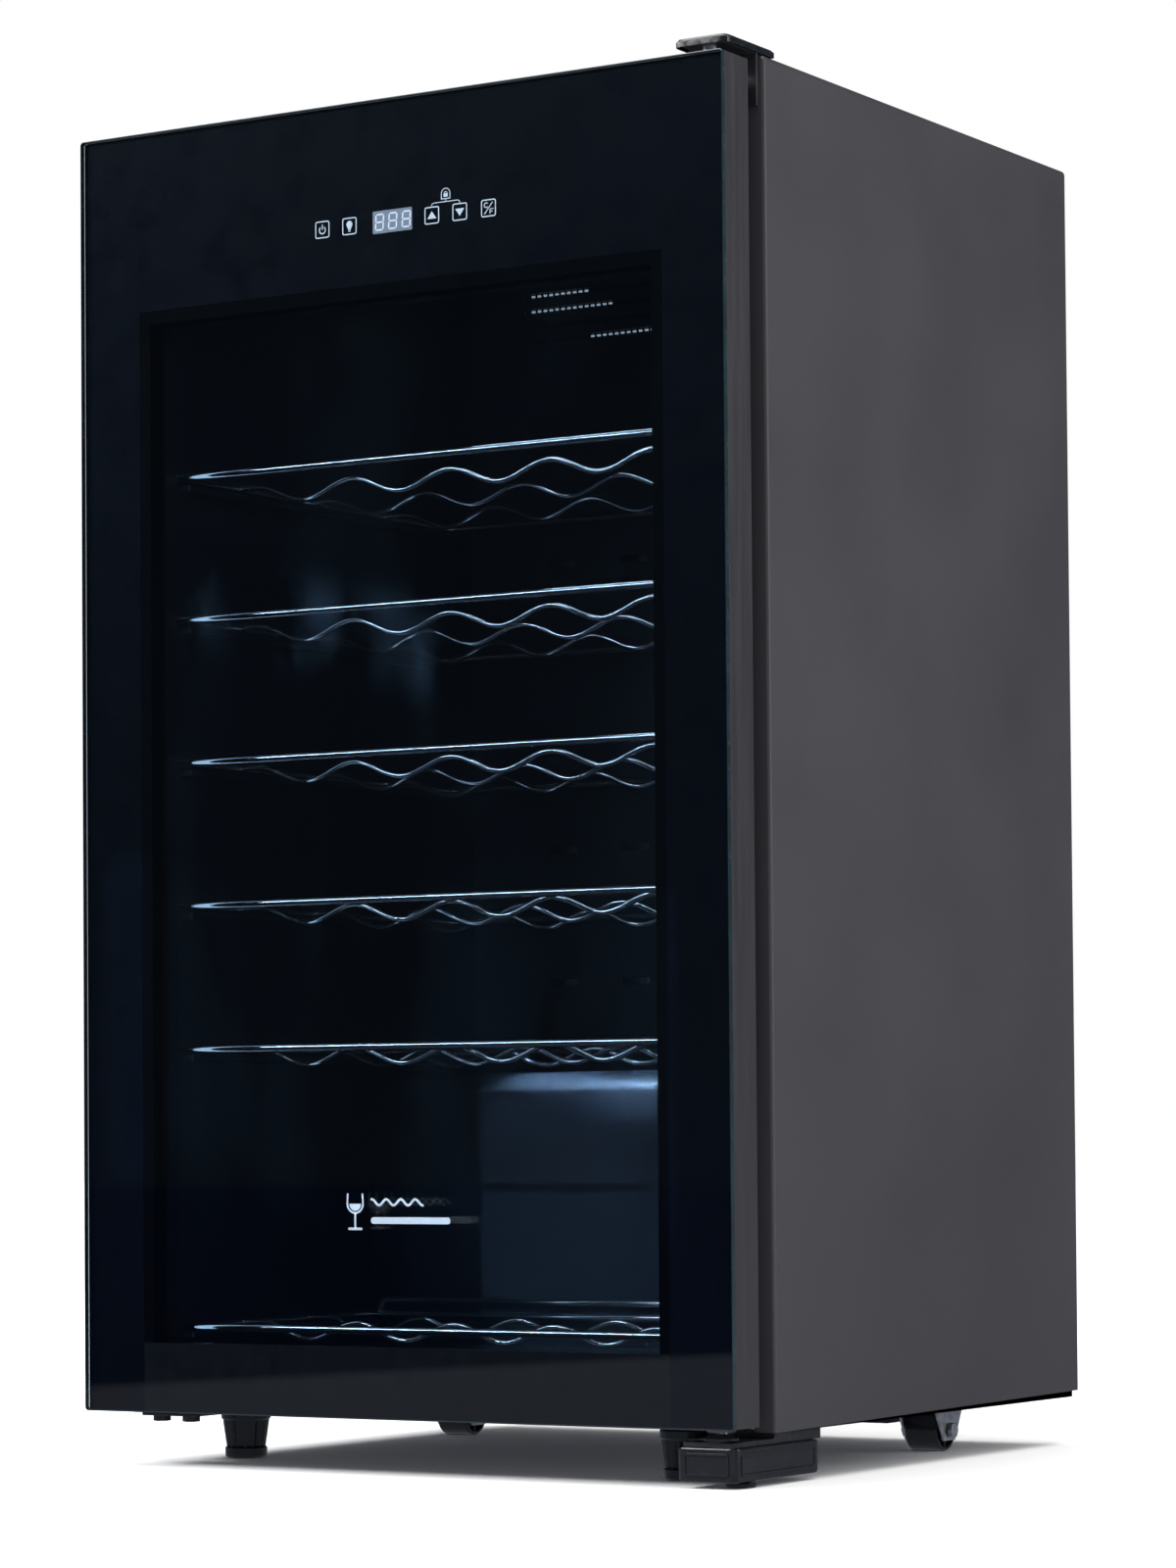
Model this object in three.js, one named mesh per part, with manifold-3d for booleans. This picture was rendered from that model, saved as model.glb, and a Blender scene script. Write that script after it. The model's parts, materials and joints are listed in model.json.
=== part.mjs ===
// A free-standing compressor wine cooler with one glass door, six welded wire shelves,
// levelling feet in front and rollers behind. Millimetres, +Z up, +Y to the back.
// The cabinet's own coordinates have x = 0 in the middle, y = 0 at the face of the door
// glass and z = 0 at the underside of the cabinet; one group carries them onto the floor.
import * as THREE from "three";
import { mergeVertices } from "three/addons/utils/BufferGeometryUtils.js";
import Module from "manifold-3d";

const wasm = await Module();
wasm.setup();

// ---- driving dimensions ----
const WIDTH = 490;
const DEPTH = 472; // door glass to the rear edge of the side panels
const BODY_HEIGHT = 845;
const FOOT_HEIGHT = 32;
const GAP = 0.3; // between pieces that touch
const HALF = WIDTH / 2;

const DOOR_GAP = 51; // door glass face to the cabinet's front edge
const SHEET = 1.2; // steel sheet
const BACK_INSET = 1.4; // rear sheet inside the side panels' rear edge
const FOLD = 15; // front edge of the sheet, turned in round the mouth
const NOTCH = [9, 4]; // depth and height of the cut-out low on the rear edge

// Inside of the cabinet
const LINER_WALL = 2;
const MOUTH_HALF = 213;
const CAVITY_FLOOR = 36;
const CAVITY_TOP = 800;
const CAVITY_BACK = 422;
const HUMP_FRONT = 290; // step over the compressor
const HUMP_TOP = 225;
const HUMP_CHAMFER = 9;

// Machine bay under the step
const BAY_FRONT = 321;
const BAY_TOP = 190;
const REAR_COVER_Y = 455;

// Shelves
const SHELF_HALF = 212;
const SHELF_FRONT = 60;
const SHELF_BACK = 386;
const SHELF_PITCH = 95;
const LOWEST_FULL_SHELF = 240;
const FULL_SHELVES = 5;
const FLOOR_SHELF = 57;
const FLOOR_SHELF_BACK = 280;
const STOP_RISE = 10; // the floor shelf's raised back rail
const CRADLE = 78; // one bottle to the next
const CRADLE_DEPTH = 11;
const RAIL_R = 2.75;
const WAVE_R = 2.2;
const LEDGE = 10; // how far each moulded ledge stands out
const LEDGE_THICK = 5;

// Door
const GLASS_T = 4;
const GLASS_BOTTOM = 4;
const GLASS_TOP = 839;
const DOOR_BACK = 32.5;
const PANE_HALF = 199; // double glazing inside the frame
const PANE_BOTTOM = 40;
const PANE_TOP = 722;
const LIP_HALF = 191;
const LIP_BOTTOM = 48;
const LIP_TOP = 713;
const INNER_PANE_Y = 16.3;
const GASKET_BACK = 50.2;

// Hinge axis
const PIVOT_X = 226;
const PIVOT_Y = 18;
const PIN_R = 4.2;

// Running gear
const FOOT_LEFT = [-194, 109];
const FOOT_RIGHT = [171, 69];
const HINGE_FOOT = [231, 32];
const ROLLER_X = 188;
const ROLLER_Y = 362;
const ROLLER_R = 14.2;
const ROLLER_W = 24;

// ---- materials ----
const surface = (color, roughness, metalness = 0) =>
  new THREE.MeshStandardMaterial({ color, roughness, metalness });
const charcoalPaint = surface(0x4b474b, 0.45, 0.2);
const darkSteel = surface(0x26282b, 0.4, 0.7);
const zincSteel = surface(0x8a8f94, 0.4, 0.9);
const chrome = surface(0xd8dde2, 0.12, 1);
const blackPlastic = surface(0x0c0d10, 0.25);
const satinPlastic = surface(0x45444a, 0.4);
const tintedGlass = surface(0x0a121c, 0.05);
const clearGlass = surface(0x9fb0b8, 0.05);
const blackRubber = surface(0x0b0b0c, 0.8);
const blackEnamel = surface(0x111214, 0.35, 0.4);
const foam = surface(0xd9c98f, 0.95);
const bareAluminium = surface(0xb9bcbf, 0.45, 1);
const copper = surface(0xb06a42, 0.35, 1);
const boardGreen = surface(0x16442f, 0.6);
const lampWhite = surface(0xeef4ff, 0.5);

// ---- solids ----
function solid(geometry) {
  const bare = geometry.clone();
  bare.deleteAttribute("normal");
  bare.deleteAttribute("uv");
  const merged = mergeVertices(bare, 1e-3);
  return new wasm.Manifold(
    new wasm.Mesh({
      numProp: 3,
      vertProperties: new Float32Array(merged.attributes.position.array),
      triVerts: new Uint32Array(merged.index.array),
    }),
  );
}

function box(x0, x1, y0, y1, z0, z1) {
  const g = new THREE.BoxGeometry(x1 - x0, y1 - y0, z1 - z0);
  g.translate((x0 + x1) / 2, (y0 + y1) / 2, (z0 + z1) / 2);
  return solid(g);
}

// A closed outline of [radius, height] pairs turned about +Z.
function turned(outline, sides = 16) {
  const points = [...outline, outline[0]].map(([r, h]) => new THREE.Vector2(r, h));
  return solid(new THREE.LatheGeometry(points, sides).rotateX(Math.PI / 2));
}

function disc(r, z0, z1, sides = 16) {
  return turned([[0, z0], [r, z0], [r, z1], [0, z1]], sides);
}

function tube(r0, r1, z0, z1, sides = 16) {
  return turned([[r0, z0], [r1, z0], [r1, z1], [r0, z1]], sides);
}

const toX = (s) => s.rotate([0, 90, 0]);
const toY = (s) => s.rotate([-90, 0, 0]);
const at = (s, x, y, z) => s.translate([x, y, z]);
const join = (list) => list.reduce((a, b) => a.add(b));
const cut = (s, list) => list.reduce((a, b) => a.subtract(b), s);

// An outline of [y, z] points carried along X.
function prismX(outline, x0, x1) {
  const shape = new THREE.Shape(outline.map(([y, z]) => new THREE.Vector2(y, z)));
  const g = new THREE.ExtrudeGeometry(shape, { depth: x1 - x0, bevelEnabled: false });
  g.rotateY(Math.PI / 2).rotateX(Math.PI / 2).translate(x0, 0, 0);
  return solid(g);
}

// A flat ring in the door's plane: outer and inner are [half width, bottom, top].
function doorRing(outer, inner, y0, y1) {
  const [ow, ob, ot] = outer;
  const [iw, ib, it] = inner;
  return box(-ow, ow, y0, y1, ob, ot).subtract(box(-iw, iw, y0 - 1, y1 + 1, ib, it));
}

// A route through points, sampled exactly at them, so that few points give few faces.
class Route extends THREE.Curve {
  constructor(points) {
    super();
    this.points = points.map((p) => new THREE.Vector3(...p));
  }
  getPoint(t, target = new THREE.Vector3()) {
    const spans = this.points.length - 1;
    const i = Math.min(Math.floor(t * spans), spans - 1);
    return target.lerpVectors(this.points[i], this.points[i + 1], t * spans - i);
  }
  getPointAt(u, target) {
    return this.getPoint(u, target);
  }
  getTangentAt(u, target) {
    return this.getTangent(u, target);
  }
}

function wire(points, r, sides = 6) {
  const section = new THREE.Shape();
  for (let i = 0; i < sides; i++) {
    const a = ((i + 0.5) * 2 * Math.PI) / sides;
    const p = [r * Math.cos(a), r * Math.sin(a)];
    if (i) section.lineTo(...p);
    else section.moveTo(...p);
  }
  const extrudePath = new Route(points);
  const steps = points.length - 1;
  return solid(new THREE.ExtrudeGeometry(section, { steps, extrudePath, bevelEnabled: false }));
}

function bar(a, b, r, sides = 6) {
  return wire([a, b], r, sides);
}

// A screw thread isn't cut: the stud is plain at its outer size.
function hexHead(r, z0, z1) {
  return turned([[0, z0], [r, z0], [r, z1], [0, z1]], 6);
}

// ---- scene graph ----
const wineCooler = new THREE.Group();
wineCooler.name = "wine_cooler";
const standing = new THREE.Group();
standing.position.set(0, -DEPTH / 2, FOOT_HEIGHT);
wineCooler.add(standing);

function group(name, x = 0, y = 0, z = 0) {
  const g = new THREE.Group();
  g.name = name;
  g.position.set(x, y, z);
  standing.add(g);
  return g;
}

const cabinet = group("cabinet");
const machine = group("machine_bay");
const door = group("door");

function piece(parent, name, made, material, x = 0, y = 0, z = 0) {
  const { numProp, vertProperties, triVerts } = made.getMesh();
  const xyz = new Float32Array((vertProperties.length / numProp) * 3);
  for (let i = 0; i < xyz.length / 3; i++)
    xyz.set(vertProperties.subarray(i * numProp, i * numProp + 3), i * 3);
  const g = new THREE.BufferGeometry();
  g.setAttribute("position", new THREE.BufferAttribute(xyz, 3));
  g.setIndex(new THREE.BufferAttribute(triVerts, 1));
  g.computeVertexNormals();
  const mesh = new THREE.Mesh(g, material);
  mesh.name = name;
  mesh.position.set(x, y, z);
  parent.add(mesh);
  return mesh;
}

// ---- cabinet ----
// Painted sheet bent over the two sides and the top, folded in round the front edge.
function cabinetShell() {
  const whole = box(-HALF, HALF, DOOR_GAP, DEPTH, 0, BODY_HEIGHT);
  const inside = box(
    -HALF + SHEET, HALF - SHEET, DOOR_GAP + SHEET, DEPTH + 1, -1, BODY_HEIGHT - SHEET);
  const mouth = box(-HALF + FOLD, HALF - FOLD, DOOR_GAP - 1, DOOR_GAP + 5, -1, BODY_HEIGHT - FOLD);
  const notch = box(-HALF - 1, HALF + 1, DEPTH - NOTCH[0], DEPTH + 1, -1, NOTCH[1]);
  return cut(whole, [inside, mouth, notch]);
}

// The step's outline seen from the side, moved out into the foam by grow.
function cavityOutline(grow, front) {
  return [
    [front, CAVITY_FLOOR - grow],
    [HUMP_FRONT + grow, CAVITY_FLOOR - grow],
    [HUMP_FRONT + grow, HUMP_TOP - HUMP_CHAMFER - grow * 0.4],
    [HUMP_FRONT + HUMP_CHAMFER + grow * 0.4, HUMP_TOP - grow],
    [CAVITY_BACK + grow, HUMP_TOP - grow],
    [CAVITY_BACK + grow, CAVITY_TOP + grow],
    [front, CAVITY_TOP + grow],
  ];
}

const fullShelfHeights = Array.from(
  { length: FULL_SHELVES },
  (_, i) => LOWEST_FULL_SHELF + SHELF_PITCH * i,
);

// A moulded ledge on each side carries each shelf.
function ledges() {
  const made = [];
  const rows = fullShelfHeights.map((z) => [z, SHELF_BACK + 2]);
  rows.push([FLOOR_SHELF, FLOOR_SHELF_BACK]);
  for (const [z, back] of rows) {
    const top = z - RAIL_R - GAP;
    for (const s of [-1, 1]) {
      const xs = [s * (MOUTH_HALF - LEDGE + 1), s * (MOUTH_HALF + 1)].sort((a, b) => a - b);
      made.push(box(xs[0], xs[1], DOOR_GAP + 14, back, top - LEDGE_THICK, top));
    }
  }
  return made;
}

function innerLiner() {
  const flange = DOOR_GAP + GAP;
  const outside = prismX(
    cavityOutline(LINER_WALL, flange), -MOUTH_HALF - LINER_WALL, MOUTH_HALF + LINER_WALL);
  const rimHalf = HALF - FOLD - GAP;
  const rim = box(
    -rimHalf, rimHalf, flange, flange + LINER_WALL, SHEET + GAP, BODY_HEIGHT - FOLD - GAP);
  const cavity = prismX(cavityOutline(0, flange - 1), -MOUTH_HALF, MOUTH_HALF);
  return join([outside.add(rim).subtract(cavity), ...ledges()]);
}

function insulation() {
  const block = box(
    -HALF + SHEET + GAP, HALF - SHEET - GAP, DOOR_GAP + 2.7, DEPTH - BACK_INSET - SHEET - GAP,
    SHEET + GAP, BODY_HEIGHT - SHEET - GAP);
  const wall = LINER_WALL + GAP;
  const cavity = prismX(cavityOutline(wall, DOOR_GAP), -MOUTH_HALF - wall, MOUTH_HALF + wall);
  const bay = box(-HALF, HALF, BAY_FRONT - GAP, DEPTH, -1, BAY_TOP + SHEET + GAP);
  return cut(block, [cavity, bay]);
}

piece(cabinet, "cabinet_shell", cabinetShell(), charcoalPaint);
piece(cabinet, "inner_liner", innerLiner(), blackPlastic);
piece(cabinet, "insulation", insulation(), foam);

const SIDE_INNER = HALF - SHEET - GAP;
const BACK_SHEET_Y = DEPTH - BACK_INSET - SHEET;
piece(
  cabinet,
  "back_panel",
  box(-SIDE_INNER, SIDE_INNER, BACK_SHEET_Y, BACK_SHEET_Y + SHEET, BAY_TOP - 3, BODY_HEIGHT - 2),
  charcoalPaint,
);

// Bottom sheet in front of the machine bay, with a hole for each levelling stud.
const studHole = ([x, y]) => at(disc(4.7, -3, 5), x, y, 0);
const basePlate = box(-SIDE_INNER, SIDE_INNER, DOOR_GAP + SHEET + GAP, BAY_FRONT - GAP, 0, SHEET);
piece(
  cabinet,
  "base_plate",
  cut(basePlate, [studHole(FOOT_LEFT), studHole(FOOT_RIGHT)]),
  darkSteel,
);

// Sheet between the foam and the machine bay.
const bayOutline = [
  [BAY_FRONT, SHEET + 0.6],
  [BAY_FRONT + SHEET, SHEET + 0.6],
  [BAY_FRONT + SHEET, BAY_TOP],
  [BACK_SHEET_Y - 6, BAY_TOP],
  [BACK_SHEET_Y - 6, BAY_TOP + SHEET],
  [BAY_FRONT, BAY_TOP + SHEET],
];
piece(cabinet, "machine_bay_panel", prismX(bayOutline, -SIDE_INNER, SIDE_INNER), zincSteel);

// Vented panel over the evaporator: louvres at the top, the fan's grille, rows of air slots.
const DUCT_Y = 396;
const FAN_Z = 690;
const GRILLE_R = 40;
const LOUVRES = [752, 763, 774, 785];
const SLOT_ROWS = [575, 590, 385, 290];
function ductPanel() {
  const slots = [];
  for (const z of LOUVRES) slots.push([0, z, 300, 4]);
  for (let i = -3; i <= 3; i++) {
    const half = Math.sqrt(GRILLE_R ** 2 - (i * 11) ** 2);
    slots.push([0, FAN_Z + i * 11, 2 * half, 6]);
  }
  for (const z of SLOT_ROWS)
    for (let i = 0; i < 5; i++) slots.push([-120 + i * 60, z, 22, 5]);
  const holes = slots.map(([x, z, w, h]) =>
    box(x - w / 2, x + w / 2, DUCT_Y - 5, DUCT_Y + 5, z - h / 2, z + h / 2));
  return cut(box(-196, 196, DUCT_Y, DUCT_Y + 3, HUMP_TOP + 1, CAVITY_TOP - 1), holes);
}
piece(cabinet, "duct_panel", ductPanel(), blackPlastic);
piece(cabinet, "evaporator_plate", box(-170, 170, 411, 414, 240, 620), bareAluminium);

piece(cabinet, "lamp_housing", box(-90, 90, 70, 100, 790, CAVITY_TOP - GAP), blackPlastic);
piece(cabinet, "lamp_lens", box(-85, 85, 73, 97, 786, 790 - GAP), lampWhite);

// A fan: a hub with pitched blades, about +Z.
function fanRotor(r, hub, thick, blades) {
  const made = [disc(hub, -thick / 2, thick / 2, 12)];
  for (let i = 0; i < blades; i++) {
    const blade = box(hub - 2, r, -r * 0.2, r * 0.2, -0.7, 0.7).rotate([22, 0, 0]);
    made.push(blade.rotate([0, 0, (360 / blades) * i]));
  }
  return join(made);
}
piece(
  cabinet,
  "circulation_fan_motor",
  toY(disc(13, -4.5, 4.5)).translate([0, 417, FAN_Z]),
  blackPlastic,
);
piece(
  group("circulation_fan", 0, 406, FAN_Z),
  "circulation_fan_rotor",
  toY(fanRotor(36, 12, 9, 7)),
  satinPlastic,
);

// ---- machine bay ----
const COMPRESSOR = [118, 391];
const POT_R = 56;

// Floor of the machine bay, pressed down in a channel that stiffens it.
function compressorBase() {
  const sheet = box(-SIDE_INNER, SIDE_INNER, BAY_FRONT + GAP, 463, 0, 1.5);
  const channel = box(-162, 162, 351, 392, -14, 1);
  const hollow = box(-160.5, 160.5, 352.5, 390.5, -12.5, 5);
  return cut(sheet.add(channel), [hollow]);
}
piece(machine, "compressor_base", compressorBase(), darkSteel);

const grommetSpots = [-52, 52].flatMap((dx) =>
  [-53, 53].map((dy) => [COMPRESSOR[0] + dx, COMPRESSOR[1] + dy]));
function compressorPot() {
  const wall = 8;
  const pot = turned([
    [3, 10.4], [POT_R - 8, 10.4], [POT_R, 22], [POT_R, 78], [POT_R + 3, 78], [POT_R + 3, 83],
    [POT_R, 83], [POT_R, 122], [POT_R - 10, 142], [POT_R - 30, 151], [3, 151], [3, 143],
    [POT_R - 32, 143], [POT_R - 16, 135], [POT_R - wall, 120], [POT_R - wall, 24],
    [POT_R - 14, 18.4], [3, 18.4],
  ]);
  const terminals = box(-POT_R - 6, -POT_R + 4, -16, 16, 44, 72);
  const feet = box(-62, 62, -62, 62, 7.8, 10.6); // one plate, welded under the pot
  const holes = grommetSpots.map(([x, y]) => at(disc(4.6, 0, 20), x, y, 0));
  return cut(at(join([pot, terminals, feet]), ...COMPRESSOR, 0), holes);
}
piece(machine, "compressor", compressorPot(), blackEnamel);
const grommet = turned(
  [[0, 1.8], [7, 1.8], [7, 7.5], [4, 7.5], [4, 10.9], [6, 10.9], [4.5, 14], [0, 14]], 10);
grommetSpots.forEach(([x, y], i) =>
  piece(machine, `compressor_grommet_${i + 1}`, grommet, blackRubber, x, y, 0));
piece(machine, "start_relay_box", box(36, 55.6, 378, 408, 40, 76), blackPlastic);

function evaporatingTray() {
  const outer = box(64, 172, 340, 446, 151.5, 168);
  return cut(outer, [box(66, 170, 342, 444, 153.5, 170)]);
}
piece(machine, "evaporating_tray", evaporatingTray(), satinPlastic);

// Condenser: one tube folded back and forth, held by two wire combs.
function condenser() {
  const path = [];
  const [rows, lowest, rise, y] = [8, 18, 18, 425];
  const [xa, xb] = [-215, -62];
  for (let i = 0; i < rows; i++) {
    const ends = i % 2 ? [xb, xa] : [xa, xb];
    const z = lowest + i * rise;
    const out = Math.sign(ends[1] - ends[0]);
    path.push([ends[0], y, z], [ends[1], y, z]);
    if (i < rows - 1) {
      path.push([ends[1] + out * 6, y, z + rise * 0.18], [ends[1] + out * 8, y, z + rise * 0.5]);
      path.push([ends[1] + out * 6, y, z + rise * 0.82]);
    }
  }
  const combs = [-190, -165, -140, -115, -90].map((x) =>
    box(x - 1.2, x + 1.2, y - 4.5, y + 4.5, 6, 150));
  return join([wire(path, 3, 4), ...combs]);
}
piece(machine, "condenser_coil", condenser(), blackEnamel);

const FAN_X = -38;
const BAY_FAN = [393, 68];
function fanShroud() {
  const [y, z] = BAY_FAN;
  const plate = box(FAN_X - 3, FAN_X, y - 56, y + 56, 3, 135);
  const eye = toX(disc(47, -5, 5, 24)).translate([FAN_X - 1.5, y, z]);
  const motor = toX(disc(15, 0, 20)).translate([FAN_X + 14, y, z]);
  const arms = [-1, 1].flatMap((s) => [
    box(FAN_X + 15, FAN_X + 18, y - 5, y + 5, z + (s < 0 ? -53 : 10), z + (s < 0 ? -10 : 53)),
    box(FAN_X - 1, FAN_X + 18, y - 5, y + 5, z + s * 51.5 - 1.5, z + s * 51.5 + 1.5),
  ]);
  return join([plate.subtract(eye), motor, ...arms]);
}
piece(machine, "condenser_fan_shroud", fanShroud(), blackPlastic);
piece(
  group("condenser_fan", FAN_X + 3, ...BAY_FAN),
  "condenser_fan_rotor",
  toX(fanRotor(43, 13, 18, 5)),
  satinPlastic,
);

piece(
  machine,
  "filter_drier",
  turned([[0, 40], [2.5, 40], [2.5, 48], [9, 56], [9, 112], [2.5, 120], [2.5, 128], [0, 128]], 12),
  copper,
  20,
  345,
  0,
);
piece(
  machine,
  "discharge_tube",
  wire([[61.4, 375, 100], [50, 373, 100], [44, 373, 106], [44, 378, 140], [38, 385, 146],
    [-46, 398, 146], [-56, 408, 148], [-62, 420, 153]], 2.5),
  copper,
);
piece(
  machine,
  "suction_tube",
  wire([[118, 333.8, 104], [118, 330.6, 105], [118, 328.5, 110], [118, 328.5, BAY_TOP - 1]], 3),
  copper,
);

function rearCover() {
  const slots = [];
  for (let row = 0; row < 6; row++)
    for (let col = 0; col < 4; col++) {
      const [x, z] = [-120 + col * 80, 50 + row * 22];
      slots.push(box(x - 30, x + 30, REAR_COVER_Y - 5, REAR_COVER_Y + 5, z, z + 6));
    }
  slots.push(toY(disc(8.4, -5, 5)).translate([-205, REAR_COVER_Y, 26]));
  const sheet = box(
    -SIDE_INNER, SIDE_INNER, REAR_COVER_Y, REAR_COVER_Y + SHEET, SHEET + 0.6, BAY_TOP - GAP);
  return cut(sheet, slots);
}
piece(machine, "rear_cover", rearCover(), zincSteel);
// Bush that a supply cord would pass through: flanges on both sides of the rear cover.
const cordBush = turned([
  [4, -8], [10.5, -8], [10.5, -GAP], [8, -GAP], [8, SHEET + GAP], [11, SHEET + GAP],
  [8, SHEET + 9], [4, SHEET + 9],
]);
piece(machine, "cord_inlet_bush", toY(cordBush), blackRubber, -205, REAR_COVER_Y, 26);

// ---- door hinges ----
function topHingePlate() {
  const flat = box(208, 240, 10, 64, BODY_HEIGHT + GAP, BODY_HEIGHT + 2.8);
  const leg = box(232.5, 241.5, 48, DOOR_GAP - GAP, 813, BODY_HEIGHT + 2.8);
  return cut(flat.add(leg), [at(disc(PIN_R + 0.4, 800, 900), PIVOT_X, PIVOT_Y, 0)]);
}
piece(cabinet, "top_hinge_plate", topHingePlate(), darkSteel);
const topPin = turned([
  [0, 828], [PIN_R - 1, 828], [PIN_R, 829.5], [PIN_R, BODY_HEIGHT + 3.1], [7, BODY_HEIGHT + 3.1],
  [7, BODY_HEIGHT + 4.4], [0, BODY_HEIGHT + 4.4],
], 12);
piece(cabinet, "top_hinge_pin", topPin, zincSteel, PIVOT_X, PIVOT_Y, 0);

function topHingeCover() {
  const plan = new THREE.Shape();
  const [x0, x1, y0, y1, r] = [206, 243.5, 8, 67, 6];
  plan.moveTo(x0 + r, y0);
  plan.lineTo(x1 - r, y0).quadraticCurveTo(x1, y0, x1, y0 + r);
  plan.lineTo(x1, y1).lineTo(x0, y1);
  plan.lineTo(x0, y0 + r).quadraticCurveTo(x0, y0, x0 + r, y0);
  const bevel = 1.6;
  const g = new THREE.ExtrudeGeometry(plan, {
    depth: 5, curveSegments: 3, bevelThickness: bevel, bevelSize: bevel, bevelOffset: -bevel,
    bevelSegments: 1,
  });
  const cap = solid(g.translate(0, 0, BODY_HEIGHT + GAP - bevel));
  const level = box(150, 300, -20, 100, BODY_HEIGHT - 10, BODY_HEIGHT + GAP);
  const hollow = box(207.7, 241.9, 9.7, 64.4, BODY_HEIGHT - 10, BODY_HEIGHT + 4.7);
  return cut(cap, [level, hollow]);
}
piece(cabinet, "top_hinge_cover", topHingeCover(), blackPlastic);

function bottomHingeBracket() {
  const arm = box(204, 239, 10, 118, -7, -4);
  const seat = box(204, 239, 60, 118, -4.5, -GAP);
  return cut(arm.add(seat), [at(disc(PIN_R + 0.4, -20, 20), PIVOT_X, PIVOT_Y, 0)]);
}
piece(cabinet, "bottom_hinge_bracket", bottomHingeBracket(), darkSteel);
const bottomPin = turned([
  [0, -9.5], [7, -9.5], [7, -7.3], [PIN_R, -7.3], [PIN_R, 15], [PIN_R - 1, 16.5], [0, 16.5],
], 12);
piece(cabinet, "bottom_hinge_pin", bottomPin, zincSteel, PIVOT_X, PIVOT_Y, 0);
piece(cabinet, "hinge_washer", tube(PIN_R + 0.4, 11, -3.7, 1.2), blackPlastic, PIVOT_X, PIVOT_Y, 0);

// Open-topped plastic tray that hides the bracket, with a tab behind it.
function bottomHingeCover() {
  const outer = box(200, 242, 8, 112, -28, -7.3);
  const hollow = box(202, 240, 10, 110, -26, 0);
  const tab = box(206, 236, 111.5, 121, -24, -9);
  const footHole = at(disc(6, -40, 0), ...HINGE_FOOT, 0);
  return cut(outer.add(tab), [hollow, footHole]);
}
piece(cabinet, "bottom_hinge_cover", bottomHingeCover(), blackPlastic);

// Blanking plate with two plug heads, where the hinge goes if the door is hung on the left.
const plugs = [-230, -206].map((x) => at(hexHead(6, -6, -1), x, 64, 0));
piece(
  cabinet, "spare_hinge_blank", join([box(-240, -196, 55, 88, -2.2, -GAP), ...plugs]), darkSteel);

// ---- running gear ----
// A ribbed, tapered foot on a stud, about its own axis.
const ribbedFoot = turned([
  [0, -FOOT_HEIGHT], [12.5, -FOOT_HEIGHT], [13.5, -FOOT_HEIGHT + 1], [14, -FOOT_HEIGHT + 7],
  [13, -FOOT_HEIGHT + 8], [15.5, -6], [16.5, -5], [16.5, -0.6], [4, -0.6], [4, 1], [0, 1],
], 14);
[["left", FOOT_LEFT], ["right", FOOT_RIGHT]].forEach(([side, [x, y]]) =>
  piece(group(`foot_${side}`, x, y, 0), `levelling_foot_${side}`, ribbedFoot, blackPlastic));
const pad = turned([
  [0, -FOOT_HEIGHT], [9, -FOOT_HEIGHT], [10, -31], [10, -28.5], [4, -28.5], [4, -7.4], [0, -7.4],
]);
piece(group("foot_hinge", ...HINGE_FOOT, 0), "hinge_foot", pad, blackPlastic);

const AXLE_Z = -FOOT_HEIGHT + ROLLER_R;
function rollerBracket() {
  const half = ROLLER_W / 2 + 3;
  const plate = box(-half, half, -62, 22, -2.6, -GAP);
  const cheeks = [-1, 1].map((s) => {
    const outline = [[-20, -2], [20, -2], [8, AXLE_Z - 7], [-8, AXLE_Z - 7]];
    return prismX(outline, s * (half - 1) - 1, s * (half - 1) + 1);
  });
  return cut(join([plate, ...cheeks]), [toX(disc(3.6, -30, 30)).translate([0, 0, AXLE_Z])]);
}
const AXLE_BORE = 3.7;
const HUB_R = 6.5;
const RIM_R = ROLLER_R - 2.5;
const WHEEL_END = ROLLER_W / 2;
const WEB_END = WHEEL_END - 3; // the web sits back from both ends
const wheel = toX(turned([
  [AXLE_BORE, -WHEEL_END], [HUB_R, -WHEEL_END], [HUB_R, -WEB_END], [RIM_R, -WEB_END],
  [RIM_R, -WHEEL_END], [ROLLER_R, 1 - WHEEL_END], [ROLLER_R, WHEEL_END - 1],
  [RIM_R, WHEEL_END], [RIM_R, WEB_END], [HUB_R, WEB_END], [HUB_R, WHEEL_END],
  [AXLE_BORE, WHEEL_END],
]));
const axle = toX(join([
  disc(3.2, -19, 19, 12), hexHead(6, -19, -15.4), hexHead(5.5, 15.4, 19)]));
[["left", -1], ["right", 1]].forEach(([side, s]) => {
  const spot = [s * ROLLER_X, ROLLER_Y, 0];
  piece(machine, `roller_bracket_${side}`, rollerBracket(), zincSteel, ...spot);
  piece(machine, `roller_axle_${side}`, axle, zincSteel, s * ROLLER_X, ROLLER_Y, AXLE_Z);
  piece(group(`roller_${side}`, s * ROLLER_X, ROLLER_Y, AXLE_Z), `roller_wheel_${side}`, wheel,
    blackPlastic);
});

// ---- door ----
const PANE = [PANE_HALF, PANE_BOTTOM, PANE_TOP];
const LIP = [LIP_HALF, LIP_BOTTOM, LIP_TOP];
piece(
  door, "door_outer_glass", box(-HALF, HALF, 0, GLASS_T, GLASS_BOTTOM, GLASS_TOP), tintedGlass);

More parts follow.
